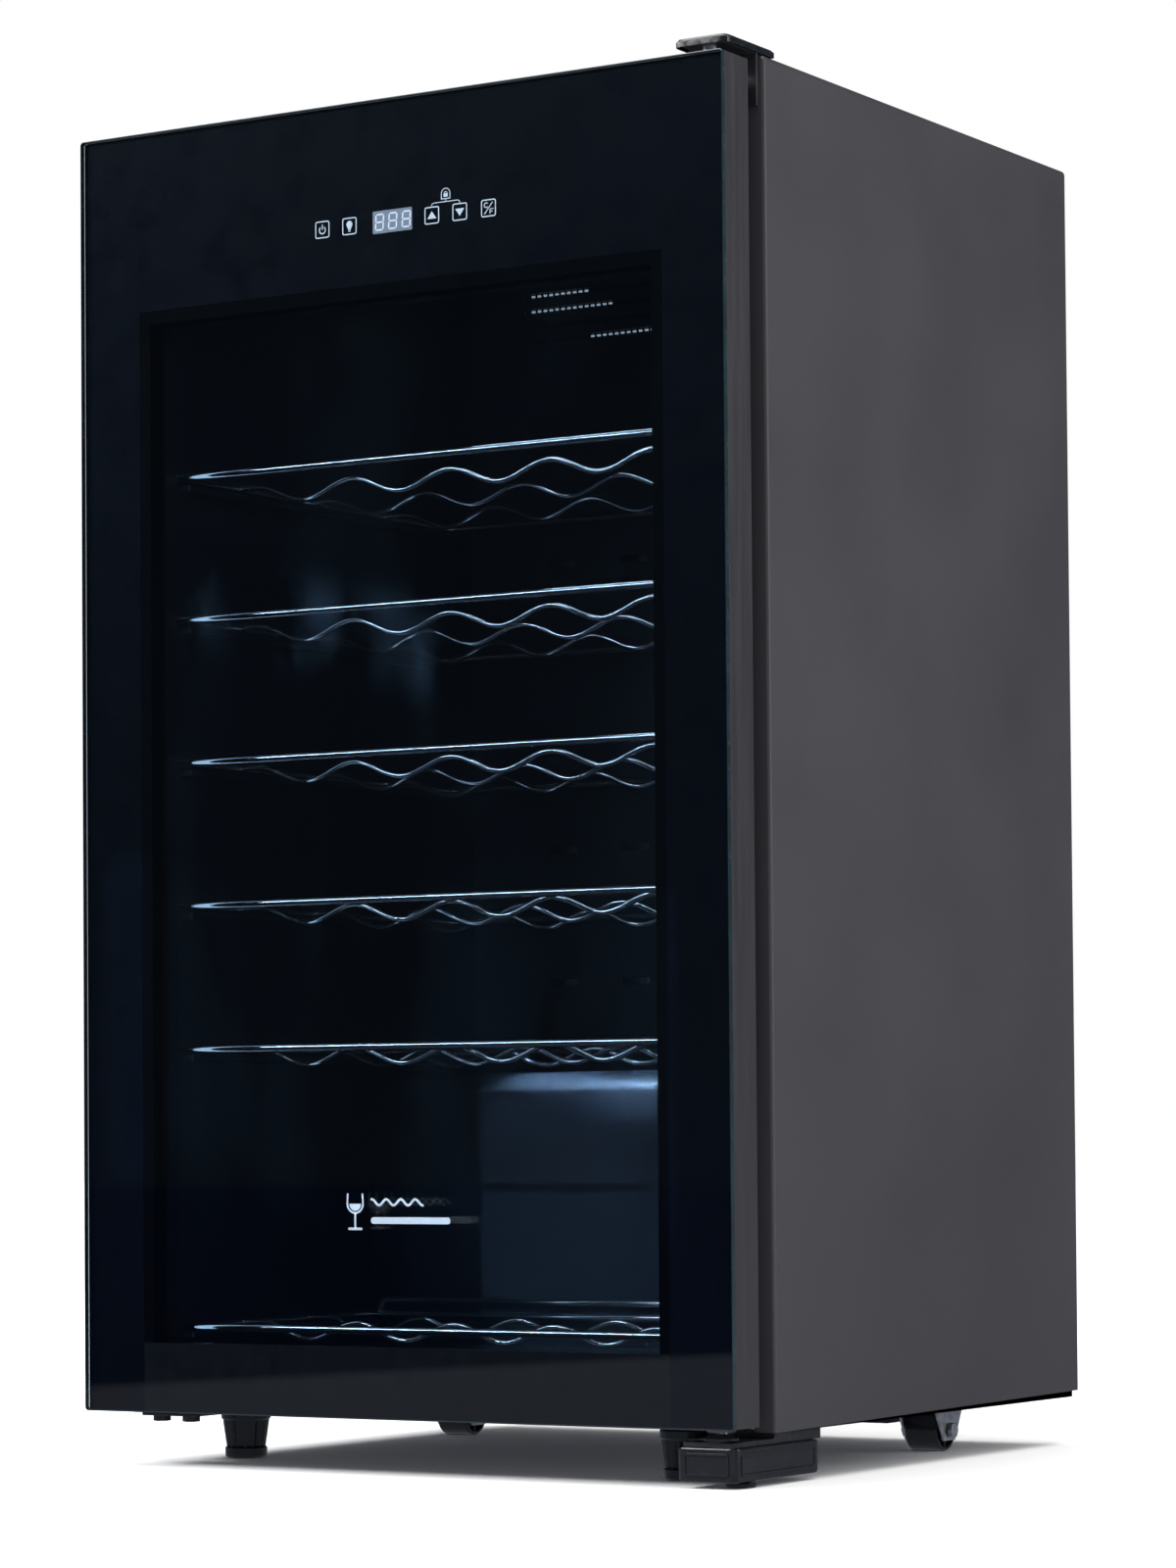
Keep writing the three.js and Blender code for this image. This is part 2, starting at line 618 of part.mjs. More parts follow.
function doorFrame() {
  const front = GLASS_T + GAP;
  const rim = [HALF - 0.5, GLASS_BOTTOM + 0.5, GLASS_TOP - 0.5];
  const step = [PANE_HALF + GAP, PANE_BOTTOM - GAP, PANE_TOP + GAP];
  const rebateEnd = INNER_PANE_Y + GLASS_T + GAP;
  const [rw, rb, rt] = rim;
  const [sw, sb, st] = step;
  const [lw, lb, lt] = LIP;
  const slab = box(-rw, rw, front, DOOR_BACK, rb, rt);
  const rebate = box(-sw, sw, 0, rebateEnd, sb, st);
  const opening = box(-lw, lw, 0, DOOR_BACK + 1, lb, lt);
  const pocket = box(-76, 96, 0, 14, 738, 786);
  const pull = box(-rw - 1, -rw + 14, 12, 28, 340, 500);
  const bores = [[rt - 13.5, rt + 1], [rb - 1, rb + 13.5]].map(([z0, z1]) =>
    at(disc(7.1, z0, z1), PIVOT_X, PIVOT_Y, 0));
  return cut(slab, [rebate, opening, pocket, pull, ...bores]);
}
piece(door, "door_frame", doorFrame(), satinPlastic);
piece(
  door,
  "glazing_spacer",
  doorRing(PANE, LIP, GLASS_T + GAP, INNER_PANE_Y - GAP),
  bareAluminium,
);
piece(
  door,
  "door_inner_glass",
  box(-PANE_HALF, PANE_HALF, INNER_PANE_Y, INNER_PANE_Y + GLASS_T, PANE_BOTTOM, PANE_TOP),
  clearGlass,
);

// Bellows seal: a wide foot on the door and a narrower magnet strip against the cabinet.
function gasket() {
  const foot = doorRing([231, 15, 826], [216, 30, 811], DOOR_BACK + GAP, 38);
  const strip = doorRing([230, 16, 825], [219, 27, 814], 37.5, GASKET_BACK);
  return foot.add(strip);
}
piece(door, "door_gasket", gasket(), blackRubber);
piece(door, "control_board", box(-72, 92, 10.6, 12.4, 742, 782), boardGreen);
piece(door, "display_module", box(-16, 18, GLASS_T + GAP + 0.2, 10.3, 752, 770), satinPlastic);

const bush = turned([[PIN_R + 0.4, 0], [6.8, 0], [6.8, 12.8], [9, 12.8], [9, 14.8],
  [PIN_R + 0.4, 14.8]]);
piece(door, "door_bush_top", bush, satinPlastic, PIVOT_X, PIVOT_Y, GLASS_TOP - 12.9);
const bushDown = bush.rotate([180, 0, 0]);
piece(door, "door_bush_bottom", bushDown, satinPlastic, PIVOT_X, PIVOT_Y, GLASS_BOTTOM + 12.9);

// ---- shelves ----
// Bottle cradles: one wave from side to side, with its low points under the bottles.
function wave(y) {
  const points = [];
  const step = CRADLE / 4;
  const end = CRADLE * 2.5;
  points.push([-SHELF_HALF + RAIL_R, y, 0]);
  for (let x = -end; x <= end + 0.01; x += step) {
    const lift = (1 - Math.cos((2 * Math.PI * x) / CRADLE)) / 2;
    points.push([x, y, (lift - 1) * CRADLE_DEPTH + 1]);
  }
  points.push([SHELF_HALF - RAIL_R, y, 0]);
  return wire(points, WAVE_R, 4);
}

// A welded rectangle of rod with cradle wires across it, about the front rail's height.
function shelf(back, waves, stopRise) {
  const x = SHELF_HALF - RAIL_R;
  const depth = back - SHELF_FRONT;
  const rods = [
    bar([-SHELF_HALF, 0, 0], [SHELF_HALF, 0, 0], RAIL_R),
    bar([-SHELF_HALF, depth, 0], [SHELF_HALF, depth, 0], RAIL_R),
    bar([-x, -1, 0], [-x, depth + 1, 0], RAIL_R),
    bar([x, -1, 0], [x, depth + 1, 0], RAIL_R),
  ];
  if (stopRise) {
    const stop = x - 8;
    rods.push(bar([-stop, depth, stopRise], [stop, depth, stopRise], RAIL_R));
    for (const s of [-stop, stop])
      rods.push(bar([s, depth, -1], [s, depth, stopRise + 1], RAIL_R));
  }
  return join([...rods, ...waves.map((y) => wave(y - SHELF_FRONT))]);
}

const fullShelf = shelf(SHELF_BACK, [128, 216, 304], 0);
fullShelfHeights.forEach((z, i) => {
  const place = group(`shelf_${FULL_SHELVES - i}`, 0, SHELF_FRONT, z);
  piece(place, `wire_shelf_${FULL_SHELVES - i}`, fullShelf, chrome);
});
const floorShelf = shelf(FLOOR_SHELF_BACK, [128, 204], STOP_RISE);
piece(group("shelf_6", 0, SHELF_FRONT, FLOOR_SHELF), "wire_shelf_6", floorShelf, chrome);

export default wineCooler;
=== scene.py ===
"""The looks of a free-standing wine cooler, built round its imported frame. Metres, +Z up, +Y to the back."""

import json
import math

import bmesh
import bpy
from mathutils import Matrix, Vector


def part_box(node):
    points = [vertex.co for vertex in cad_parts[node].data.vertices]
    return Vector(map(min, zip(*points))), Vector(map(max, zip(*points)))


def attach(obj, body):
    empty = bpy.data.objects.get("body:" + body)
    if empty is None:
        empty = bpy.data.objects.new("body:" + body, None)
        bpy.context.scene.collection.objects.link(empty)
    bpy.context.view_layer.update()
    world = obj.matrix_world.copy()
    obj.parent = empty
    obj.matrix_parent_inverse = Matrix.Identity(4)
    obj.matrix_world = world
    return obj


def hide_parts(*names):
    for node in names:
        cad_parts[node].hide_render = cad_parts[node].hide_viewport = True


MM = 0.001
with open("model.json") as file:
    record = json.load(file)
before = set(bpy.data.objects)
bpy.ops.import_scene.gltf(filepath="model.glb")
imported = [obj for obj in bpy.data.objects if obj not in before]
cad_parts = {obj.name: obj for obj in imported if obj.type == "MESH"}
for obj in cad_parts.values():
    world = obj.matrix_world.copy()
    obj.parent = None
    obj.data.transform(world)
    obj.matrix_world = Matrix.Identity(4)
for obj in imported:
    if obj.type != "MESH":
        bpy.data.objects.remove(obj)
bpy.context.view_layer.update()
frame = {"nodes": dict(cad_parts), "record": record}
record = frame["record"]
body_of = {n: b for b, nodes in record["behaviour"]["bodies"].items() for n in nodes}
scene = bpy.context.scene


class Box:
    """The lowest and highest corner of a CAD node."""

    def __init__(self, node):
        (self.x0, self.y0, self.z0), (self.x1, self.y1, self.z1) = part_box(node)
        self.x = (self.x0 + self.x1) / 2
        self.y = (self.y0 + self.y1) / 2
        self.z = (self.z0 + self.z1) / 2


GLASS = Box("door_outer_glass")
SHELL = Box("cabinet_shell")
PANE = Box("door_inner_glass")
LINER = Box("inner_liner")


def at(x, y, z):
    """A spot given from the cabinet's middle, the face of the door glass and the underside."""
    return Vector((x * MM, GLASS.y0 + y * MM, GLASS.z0 + (z - 4) * MM))


# ---- camera, lights and floor ----
def look(yaw, pitch, roll):
    """Rotation of a camera that looks along +Y, then yaws left, tilts up and rolls."""
    turn = Matrix.Rotation(math.radians(yaw), 3, "Z") @ Matrix.Rotation(math.radians(90 + pitch), 3, "X")
    return turn @ Matrix.Rotation(math.radians(roll), 3, "Z")


CAMERA_SPOT = (1.6395, -2.6513, 0.2212)
CAMERA_TURN = (31.75, 1.95, -0.435)  # yaw, pitch and roll in degrees


def add_camera():
    data = bpy.data.cameras.new("camera")
    data.sensor_fit = "AUTO"
    data.sensor_width = 36
    data.lens = 106.58
    data.shift_y = 0.1156
    data.clip_end = 50
    camera = bpy.data.objects.new("camera", data)
    camera.matrix_world = (
        Matrix.Translation(CAMERA_SPOT) @ look(*CAMERA_TURN).to_4x4()
    )
    scene.collection.objects.link(camera)
    scene.camera = camera


def area_light(name, spot, target, size, watts, colour=(1, 1, 1)):
    data = bpy.data.lights.new(name, "AREA")
    data.shape = "RECTANGLE"
    data.size, data.size_y = size
    data.energy = watts
    data.color = colour
    light = bpy.data.objects.new(name, data)
    aim = (Vector(target) - Vector(spot)).to_track_quat("-Z", "Y")
    light.matrix_world = Matrix.Translation(spot) @ aim.to_matrix().to_4x4()
    scene.collection.objects.link(light)
    return light


def add_world():
    """White to the camera, an even soft fill on matt surfaces, a dim room in reflections."""
    world = bpy.data.worlds.new("studio")
    world.use_nodes = True
    tree = world.node_tree
    tree.nodes.clear()
    rays = tree.nodes.new("ShaderNodeLightPath")
    result = None
    for ray, colour, strength in (
            (None, (1.0, 0.99, 0.98), 0.62), ("Is Glossy Ray", (0.5, 0.7, 1.0), 0.05),
            ("Is Camera Ray", (1, 1, 1), 1.0)):
        shade = tree.nodes.new("ShaderNodeBackground")
        shade.inputs["Color"].default_value = (*colour, 1)
        shade.inputs["Strength"].default_value = strength
        if ray is None:
            result = shade.outputs[0]
            continue
        mix = tree.nodes.new("ShaderNodeMixShader")
        tree.links.new(rays.outputs[ray], mix.inputs[0])
        tree.links.new(result, mix.inputs[1])
        tree.links.new(shade.outputs[0], mix.inputs[2])
        result = mix.outputs[0]
    out = tree.nodes.new("ShaderNodeOutputWorld")
    tree.links.new(result, out.inputs["Surface"])
    scene.world = world


def add_lights():
    middle = (0, 0, 0.45)
    area_light("overhead", (0.2, -0.3, 3.4), (0.2, -0.3, 0), (3.4, 3.4), 60)
    area_light("key_left", (-2.5, -2.6, 2.3), middle, (2.4, 0.45), 180)
    area_light("door_wash", (-1.6, -1.2, 1.3), (-0.2, -0.24, 0.7), (0.6, 0.8), 12, (0.85, 0.92, 1))
    area_light("side_right", (3.0, 1.4, 1.2), (0.24, 0, 0.5), (1.4, 2.2), 40)
    area_light("low_front", (1.3, -1.9, 0.35), (0.22, -0.2, 0.02), (0.4, 0.4), 2)
    hump = Vector((0.055, 0.054, 0.155))
    beam = area_light("window_beam", hump + Vector((-0.22, -0.93, 0.38)) * 1.5, hump,
                      (0.42, 0.20), 0.46, (0.55, 0.78, 1))
    beam.data.spread = math.radians(0.8)
    edge = Vector((-0.01, 0.06, 0.256))
    rake = area_light("edge_beam", edge + Vector((-0.2, -0.83, 0.86)) * 1.2, edge,
                      (0.18, 0.035), 1.2, (0.72, 0.86, 1))
    rake.data.spread = math.radians(1.5)
    strip = area_light("left_kicker", (PANE.x0 - 0.006, SHELL.y0 - 0.014, 0.4), (0, 0.1, 0.4),
                       (0.012, 0.66), 0.05, (0.6, 0.8, 1))
    strip.visible_camera = False
    glow = area_light("lamp_glow", (0, GLASS.y0 + 0.085, 0.815), (0, GLASS.y0 + 0.085, 0),
                      (0.16, 0.02), 0.12, (0.7, 0.86, 1))
    glow.data.spread = math.radians(150)


def add_sky_sun():
    data = bpy.data.lights.new("even_top", "SUN")
    data.energy = 2.6
    data.angle = math.radians(80)
    scene.collection.objects.link(bpy.data.objects.new("even_top", data))


scene.view_settings.view_transform = "Standard"
add_sky_sun()
add_world()
add_camera()
add_lights()


# ---- mesh building ----
def new_object(name, mesh):
    obj = bpy.data.objects.new(name, mesh)
    scene.collection.objects.link(obj)
    return obj


def from_bmesh(name, bm, sharp=35):
    """Closes up a bmesh into a new object, smooth except over edges sharper than the angle."""
    bmesh.ops.remove_doubles(bm, verts=bm.verts, dist=1e-7)
    bmesh.ops.dissolve_degenerate(bm, edges=bm.edges, dist=1e-7)
    bmesh.ops.recalc_face_normals(bm, faces=bm.faces)
    mesh = bpy.data.meshes.new(name)
    bm.to_mesh(mesh)
    bm.free()
    mesh.shade_smooth()
    mesh.set_sharp_from_angle(angle=math.radians(sharp))
    obj = new_object(name, mesh)
    flat = obj.modifiers.new("flat_faces", "WEIGHTED_NORMAL")
    flat.keep_sharp = True
    return apply_modifiers(obj)


def skin(bm, loops, ring=True, closed=False, caps=False):
    """Quads between loops of points. ring joins each loop's ends, closed joins the last loop to
    the first, and caps fills the first and last loop."""
    rows = [[bm.verts.new(p) for p in loop] for loop in loops]
    count = len(rows[0])
    pairs = list(zip(rows, rows[1:])) + ([(rows[-1], rows[0])] if closed else [])
    for a, b in pairs:
        for i in range(count if ring else count - 1):
            j = (i + 1) % count
            bm.faces.new((a[i], a[j], b[j], b[i]))
    if caps:
        bm.faces.new(rows[0])
        bm.faces.new(list(reversed(rows[-1])))
    return rows


def arc(cx, cy, r, start, end, steps):
    """Points of an arc in degrees, both ends included."""
    angles = [math.radians(start + (end - start) * i / steps) for i in range(steps + 1)]
    return [(cx + r * math.cos(a), cy + r * math.sin(a)) for a in angles]


def rounded_rect(x0, x1, z0, z1, r, steps=5):
    """A rectangle's outline with round corners, anticlockwise, as (x, z) pairs."""
    r = max(min(r, (x1 - x0) / 2 - 1e-5, (z1 - z0) / 2 - 1e-5), 2e-5)
    return (
        arc(x1 - r, z0 + r, r, -90, 0, steps)
        + arc(x1 - r, z1 - r, r, 0, 90, steps)
        + arc(x0 + r, z1 - r, r, 90, 180, steps)
        + arc(x0 + r, z0 + r, r, 180, 270, steps)
    )


def door_loop(x0, x1, z0, z1, r, y, steps=5):
    return [(x, y, z) for x, z in rounded_rect(x0, x1, z0, z1, r, steps)]


def plate(name, x0, x1, y0, y1, z0, z1, corner, bevel, sharp=35):
    """A flat pane facing the front, with round corners and arrised edges."""
    bm = bmesh.new()
    insets = [(bevel, y0), (0, y0 + bevel), (0, y1 - bevel), (bevel, y1)]
    skin(bm, [door_loop(x0 + i, x1 - i, z0 + i, z1 - i, corner - i, y) for i, y in insets], caps=True)
    return from_bmesh(name, bm, sharp)


def ring_sweep(name, box, corner, profile, sharp=35, steps=5):
    """A section of (inset, y) points carried round a rectangle in the door's plane."""
    bm = bmesh.new()
    loops = [
        door_loop(box.x0 + i, box.x1 - i, box.z0 + i, box.z1 - i, corner - i, y, steps)
        for i, y in profile
    ]
    skin(bm, loops, closed=True)
    return from_bmesh(name, bm, sharp)


def lathe_loops(profile, sides):
    angles = [2 * math.pi * i / sides for i in range(sides)]
    return [[(r * math.cos(a), r * math.sin(a), h) for a in angles] for r, h in profile]


AXES = {
    "Z": Matrix.Identity(4),
    "X": Matrix.Rotation(math.pi / 2, 4, "Y"),
    "Y": Matrix.Rotation(-math.pi / 2, 4, "X"),
}


def place(bm, centre, axis="Z"):
    bmesh.ops.transform(bm, matrix=Matrix.Translation(centre) @ AXES[axis], verts=bm.verts)


def lathe(name, profile, centre, axis="Z", sides=48, sharp=30):
    """A closed outline of (radius, height) points turned about an axis through centre."""
    bm = bmesh.new()
    skin(bm, lathe_loops(profile, sides), closed=profile[0][0] > 0 or profile[-1][0] > 0)
    place(bm, centre, axis)
    return from_bmesh(name, bm, sharp)


def tube_loops(points, r, sides=12, round_ends=True):
    """Rings of a round wire along points, on a frame that doesn't twist."""
    points = [Vector(p) for p in points]
    tangents = []
    for i in range(len(points)):
        ahead = points[min(i + 1, len(points) - 1)] - points[max(i - 1, 0)]
        tangents.append(ahead.normalized())
    side = tangents[0].orthogonal().normalized()
    rings = []
    for p, t in zip(points, tangents):
        side = (side - t * side.dot(t)).normalized()
        up = t.cross(side)
        rings.append((p, t, side, up))
    spots = [(0, 1.0, rings[0])]
    if round_ends:
        caps = [(math.radians(a)) for a in (80, 55, 30)]
        spots = [(-math.sin(a), math.cos(a), rings[0]) for a in caps] + spots
    spots += [(0, 1.0, ring) for ring in rings[1:]]
    if round_ends:
        spots += [(math.sin(a), math.cos(a), rings[-1]) for a in reversed(caps)]
    loops = []
    for shift, share, (p, t, s, u) in spots:
        loop = []
        for k in range(sides):
            a = 2 * math.pi * k / sides
            loop.append(p + t * shift * r + (s * math.cos(a) + u * math.sin(a)) * r * share)
        loops.append(loop)
    return loops


def add_tube(bm, points, r, sides=12, round_ends=True):
    skin(bm, tube_loops(points, r, sides, round_ends), caps=True)


def add_box(bm, x0, x1, y0, y1, z0, z1, bevel=0.0, segments=2):
    """A box with rounded edges, added to bm."""
    made = bmesh.ops.create_cube(bm, size=1)["verts"]
    size = Matrix.Diagonal((x1 - x0, y1 - y0, z1 - z0, 1))
    middle = Matrix.Translation(((x0 + x1) / 2, (y0 + y1) / 2, (z0 + z1) / 2))
    bmesh.ops.transform(bm, matrix=middle @ size, verts=made)
    if bevel:
        edges = list({e for v in made for e in v.link_edges})
        bmesh.ops.bevel(
            bm, geom=edges, offset=bevel, segments=segments, profile=0.5, affect="EDGES")


def add_prism(bm, outline, y0, y1):
    """A flat figure in the door's plane, given as (x, z) points."""
    skin(bm, [[(x, y, z) for x, z in outline] for y in (y0, y1)], caps=True)


def refined(node, bevel, segments=3, angle=30):
    """A copy of a CAD node with its flat faces made whole and its edges rounded."""
    bm = bmesh.new()
    bm.from_mesh(frame["nodes"][node].data)
    bmesh.ops.remove_doubles(bm, verts=bm.verts, dist=2e-6)
    bmesh.ops.dissolve_limit(
        bm, angle_limit=math.radians(1), verts=bm.verts, edges=bm.edges, delimit=set())
    bmesh.ops.recalc_face_normals(bm, faces=bm.faces)
    edges = [
        e for e in bm.edges
        if len(e.link_faces) == 2 and e.calc_face_angle(0) > math.radians(angle)
    ]
    bmesh.ops.bevel(
        bm, geom=edges, offset=bevel, segments=segments, profile=0.5, affect="EDGES",
        clamp_overlap=True, loop_slide=True)
    return from_bmesh(node + "_fine", bm, 40)


# ---- materials ----
class Look:
    """A Principled material with its nodes at hand."""

    def __init__(self, name, colour, roughness, metallic=0.0, **sockets):
        self.material = bpy.data.materials.new(name)
        self.material.use_nodes = True
        self.tree = self.material.node_tree
        self.shader = self.tree.nodes["Principled BSDF"]
        self.colour = (*colour, 1)
        self.roughness = roughness
        self.set("Base Color", self.colour)
        self.set("Roughness", roughness)
        self.set("Metallic", metallic)
        for socket, value in sockets.items():
            self.set(socket.replace("_", " "), value)

    def set(self, socket, value):
        self.shader.inputs[socket].default_value = value

    def node(self, kind, **values):
        made = self.tree.nodes.new("ShaderNode" + kind)
        for key, value in values.items():
            if key in made.inputs:
                made.inputs[key].default_value = value
            else:
                setattr(made, key, value)
        return made

    def link(self, source, target):
        self.tree.links.new(source, target)

    def coordinates(self, stretch=(1, 1, 1)):
        where = self.node("TexCoord")
        mapping = self.node("Mapping")
        mapping.inputs["Scale"].default_value = stretch
        self.link(where.outputs["Object"], mapping.inputs["Vector"])
        return mapping.outputs["Vector"]

    def noise(self, scale, detail=3.0, stretch=(1, 1, 1), roughness=0.5):
        made = self.node("TexNoise", Scale=scale, Detail=detail, Roughness=roughness)
        self.link(self.coordinates(stretch), made.inputs["Vector"])
        return made.outputs["Fac"]

    def tone(self, source, low, high, from_range=(0.3, 0.7)):
        """Colour between low and high times the base, by source."""
        ramp = self.node("ValToRGB")
        ramp.color_ramp.elements[0].position = from_range[0]
        ramp.color_ramp.elements[1].position = from_range[1]
        for element, share in zip(ramp.color_ramp.elements, (low, high)):
            element.color = (*[min(c * share, 1) for c in self.colour[:3]], 1)
        self.link(source, ramp.inputs["Fac"])
        self.link(ramp.outputs["Color"], self.shader.inputs["Base Color"])
        return self

    def gloss(self, source, low, high, from_range=(0.3, 0.7)):
        """Roughness from low to high, by source."""
        ranged = self.node("MapRange")
        for socket, value in zip(
                ("From Min", "From Max", "To Min", "To Max"), (*from_range, low, high)):
            ranged.inputs[socket].default_value = value
        self.link(source, ranged.inputs["Value"])
        self.link(ranged.outputs["Result"], self.shader.inputs["Roughness"])
        return self

    def bump(self, source, height, strength=1.0):
        made = self.node("Bump", Strength=strength, Distance=height)
        self.link(source, made.inputs["Height"])
        self.link(made.outputs["Normal"], self.shader.inputs["Normal"])
        return self


def cabinet_paint():
    look_ = Look("charcoal_paint", (0.03, 0.0285, 0.0345), 0.42)
    look_.tone(look_.noise(2.2, 2), 0.9, 1.1)
    look_.gloss(look_.noise(9, 4), 0.38, 0.5)
    return look_.bump(look_.noise(2600, 2), 0.00002, 0.5).material


def frame_finish():
    look_ = Look("satin_frame", (0.019, 0.0185, 0.0225), 0.36)
    look_.tone(look_.noise(5, 2), 0.92, 1.08)
    look_.gloss(look_.noise(160, 3, (1, 1, 0.05)), 0.28, 0.42)
    return look_.bump(look_.noise(1900, 2), 0.000015, 0.4).material


def liner_plastic():
    look_ = Look("liner_plastic", (0.008, 0.0105, 0.0155), 0.38, Specular_IOR_Level=0.8)
    look_.tone(look_.noise(6, 3), 0.85, 1.15)
    look_.gloss(look_.noise(30, 3), 0.34, 0.42)
    return look_.bump(look_.noise(900, 2), 0.00002, 0.3).material


def gloss_black(name="gloss_black", colour=(0.006, 0.007, 0.009)):
    look_ = Look(name, colour, 0.18)
    look_.tone(look_.noise(40, 3), 0.8, 1.3)
    look_.gloss(look_.noise(220, 4), 0.12, 0.3)
    return look_.bump(look_.noise(700, 2), 0.00001, 0.4).material


def chrome():
    look_ = Look("chrome_wire", (0.95, 0.96, 0.97), 0.08, 1.0)
    look_.tone(look_.noise(60, 3), 0.94, 1.0)
    return look_.gloss(look_.noise(300, 3), 0.05, 0.14).material


def dark_steel():
    look_ = Look("dark_steel", (0.03, 0.032, 0.036), 0.4, 0.6)
    look_.tone(look_.noise(120, 4), 0.7, 1.35)
    look_.gloss(look_.noise(90, 4), 0.3, 0.52)
    return look_.bump(look_.noise(1200, 3), 0.00002, 0.5).material


def zinc():
    look_ = Look("zinc_steel", (0.42, 0.44, 0.47), 0.38, 0.9)
    cells = look_.node("TexVoronoi", Scale=260.0)
    look_.link(look_.coordinates(), cells.inputs["Vector"])
    look_.tone(cells.outputs["Distance"], 0.72, 1.15, (0.1, 0.7))
    look_.gloss(look_.noise(150, 4), 0.28, 0.5)
    return look_.bump(look_.noise(600, 3), 0.00002, 0.4).material


def rubber():
    look_ = Look("black_rubber", (0.012, 0.012, 0.013), 0.7)
    look_.tone(look_.noise(80, 4), 0.8, 1.3)
    look_.gloss(look_.noise(60, 3), 0.6, 0.82)
    return look_.bump(look_.noise(1500, 3), 0.00003, 0.6).material


def simple_metal(name, colour, roughness):
    look_ = Look(name, colour, roughness, 1.0)
    look_.tone(look_.noise(70, 4), 0.8, 1.1)
    look_.gloss(look_.noise(200, 4), roughness * 0.75, roughness * 1.35)
    return look_.bump(look_.noise(900, 3), 0.00001, 0.4).material


def moulded(name, colour, roughness):
    look_ = Look(name, colour, roughness)
    look_.tone(look_.noise(40, 3), 0.88, 1.1)
    look_.gloss(look_.noise(90, 3), roughness * 0.85, roughness * 1.2)
    return look_.bump(look_.noise(1400, 2), 0.00002, 0.4).material


def pane(name, tint, smear_and_reflection=0.0):
    """Thin glass: it lets light straight through, tinted, and mirrors more at a low angle."""
    look_ = Look(name, tint, 0.02)
    look_.tree.nodes.remove(look_.shader)
    clear = look_.node("BsdfTransparent", Color=(*tint, 1))
    mirror = look_.node("BsdfGlossy", Color=(1, 1, 1, 1), Roughness=0.015)
    facing = look_.node("LayerWeight", Blend=0.5)
    power = look_.node("Math", operation="POWER")
    power.inputs[1].default_value = 5
    look_.link(facing.outputs["Facing"], power.inputs[0])
    share = look_.node("MapRange")
    share.inputs["To Min"].default_value = 0.04
    share.inputs["To Max"].default_value = 1.0
    look_.link(power.outputs[0], share.inputs["Value"])
    mix = look_.node("MixShader")
    look_.link(share.outputs["Result"], mix.inputs[0])
    look_.link(clear.outputs[0], mix.inputs[1])
    look_.link(mirror.outputs[0], mix.inputs[2])
    result = mix.outputs[0]
    # Optional faint bluish diffuse film in streaks: a smear on the pane, its blue tint painted reflection.
    if smear_and_reflection:
        smear_reflection_film = look_.node("BsdfDiffuse", Color=(0.35, 0.5, 0.62, 1))
        smear_and_reflection_streaks = look_.noise(5.5, 6, (1.6, 1, 0.55), 0.62)
        amount = look_.node("MapRange")
        for socket, value in zip(("From Min", "From Max", "To Min", "To Max"), (0.5, 0.85, 0, smear_and_reflection)):
            amount.inputs[socket].default_value = value
        look_.link(smear_and_reflection_streaks, amount.inputs["Value"])
        over = look_.node("MixShader")
        look_.link(amount.outputs["Result"], over.inputs[0])
        look_.link(result, over.inputs[1])
        look_.link(smear_reflection_film.outputs[0], over.inputs[2])
        result = over.outputs[0]
    look_.link(result, look_.tree.nodes["Material Output"].inputs["Surface"])
    return look_.material


def printed_enamel():
    look_ = Look("printed_enamel", (0.0038, 0.0056, 0.01), 0.5, Specular_IOR_Level=0.05)
    look_.tone(look_.noise(3, 3), 0.85, 1.2)
    return look_.gloss(look_.noise(50, 3), 0.24, 0.38).material


def matt_black(name):
    look_ = Look(name, (0.0008, 0.001, 0.0016), 0.6, Specular_IOR_Level=0.03)
    look_.tone(look_.noise(60, 3), 0.8, 1.2)
    return look_.gloss(look_.noise(90, 3), 0.55, 0.7).material


def lit(name, colour, strength):
    look_ = Look(name, colour, 0.4)
    look_.set("Emission Color", (*colour, 1))
    look_.set("Emission Strength", strength)
    look_.tone(look_.noise(900, 2), 0.93, 1.0)
    return look_.gloss(look_.noise(400, 2), 0.35, 0.45).material


def foam():
    look_ = Look("foam", (0.72, 0.62, 0.36), 0.9)
    look_.tone(look_.noise(120, 4), 0.8, 1.1)
    look_.gloss(look_.noise(60, 3), 0.85, 0.95)
    return look_.bump(look_.noise(500, 4), 0.0004, 0.8).material


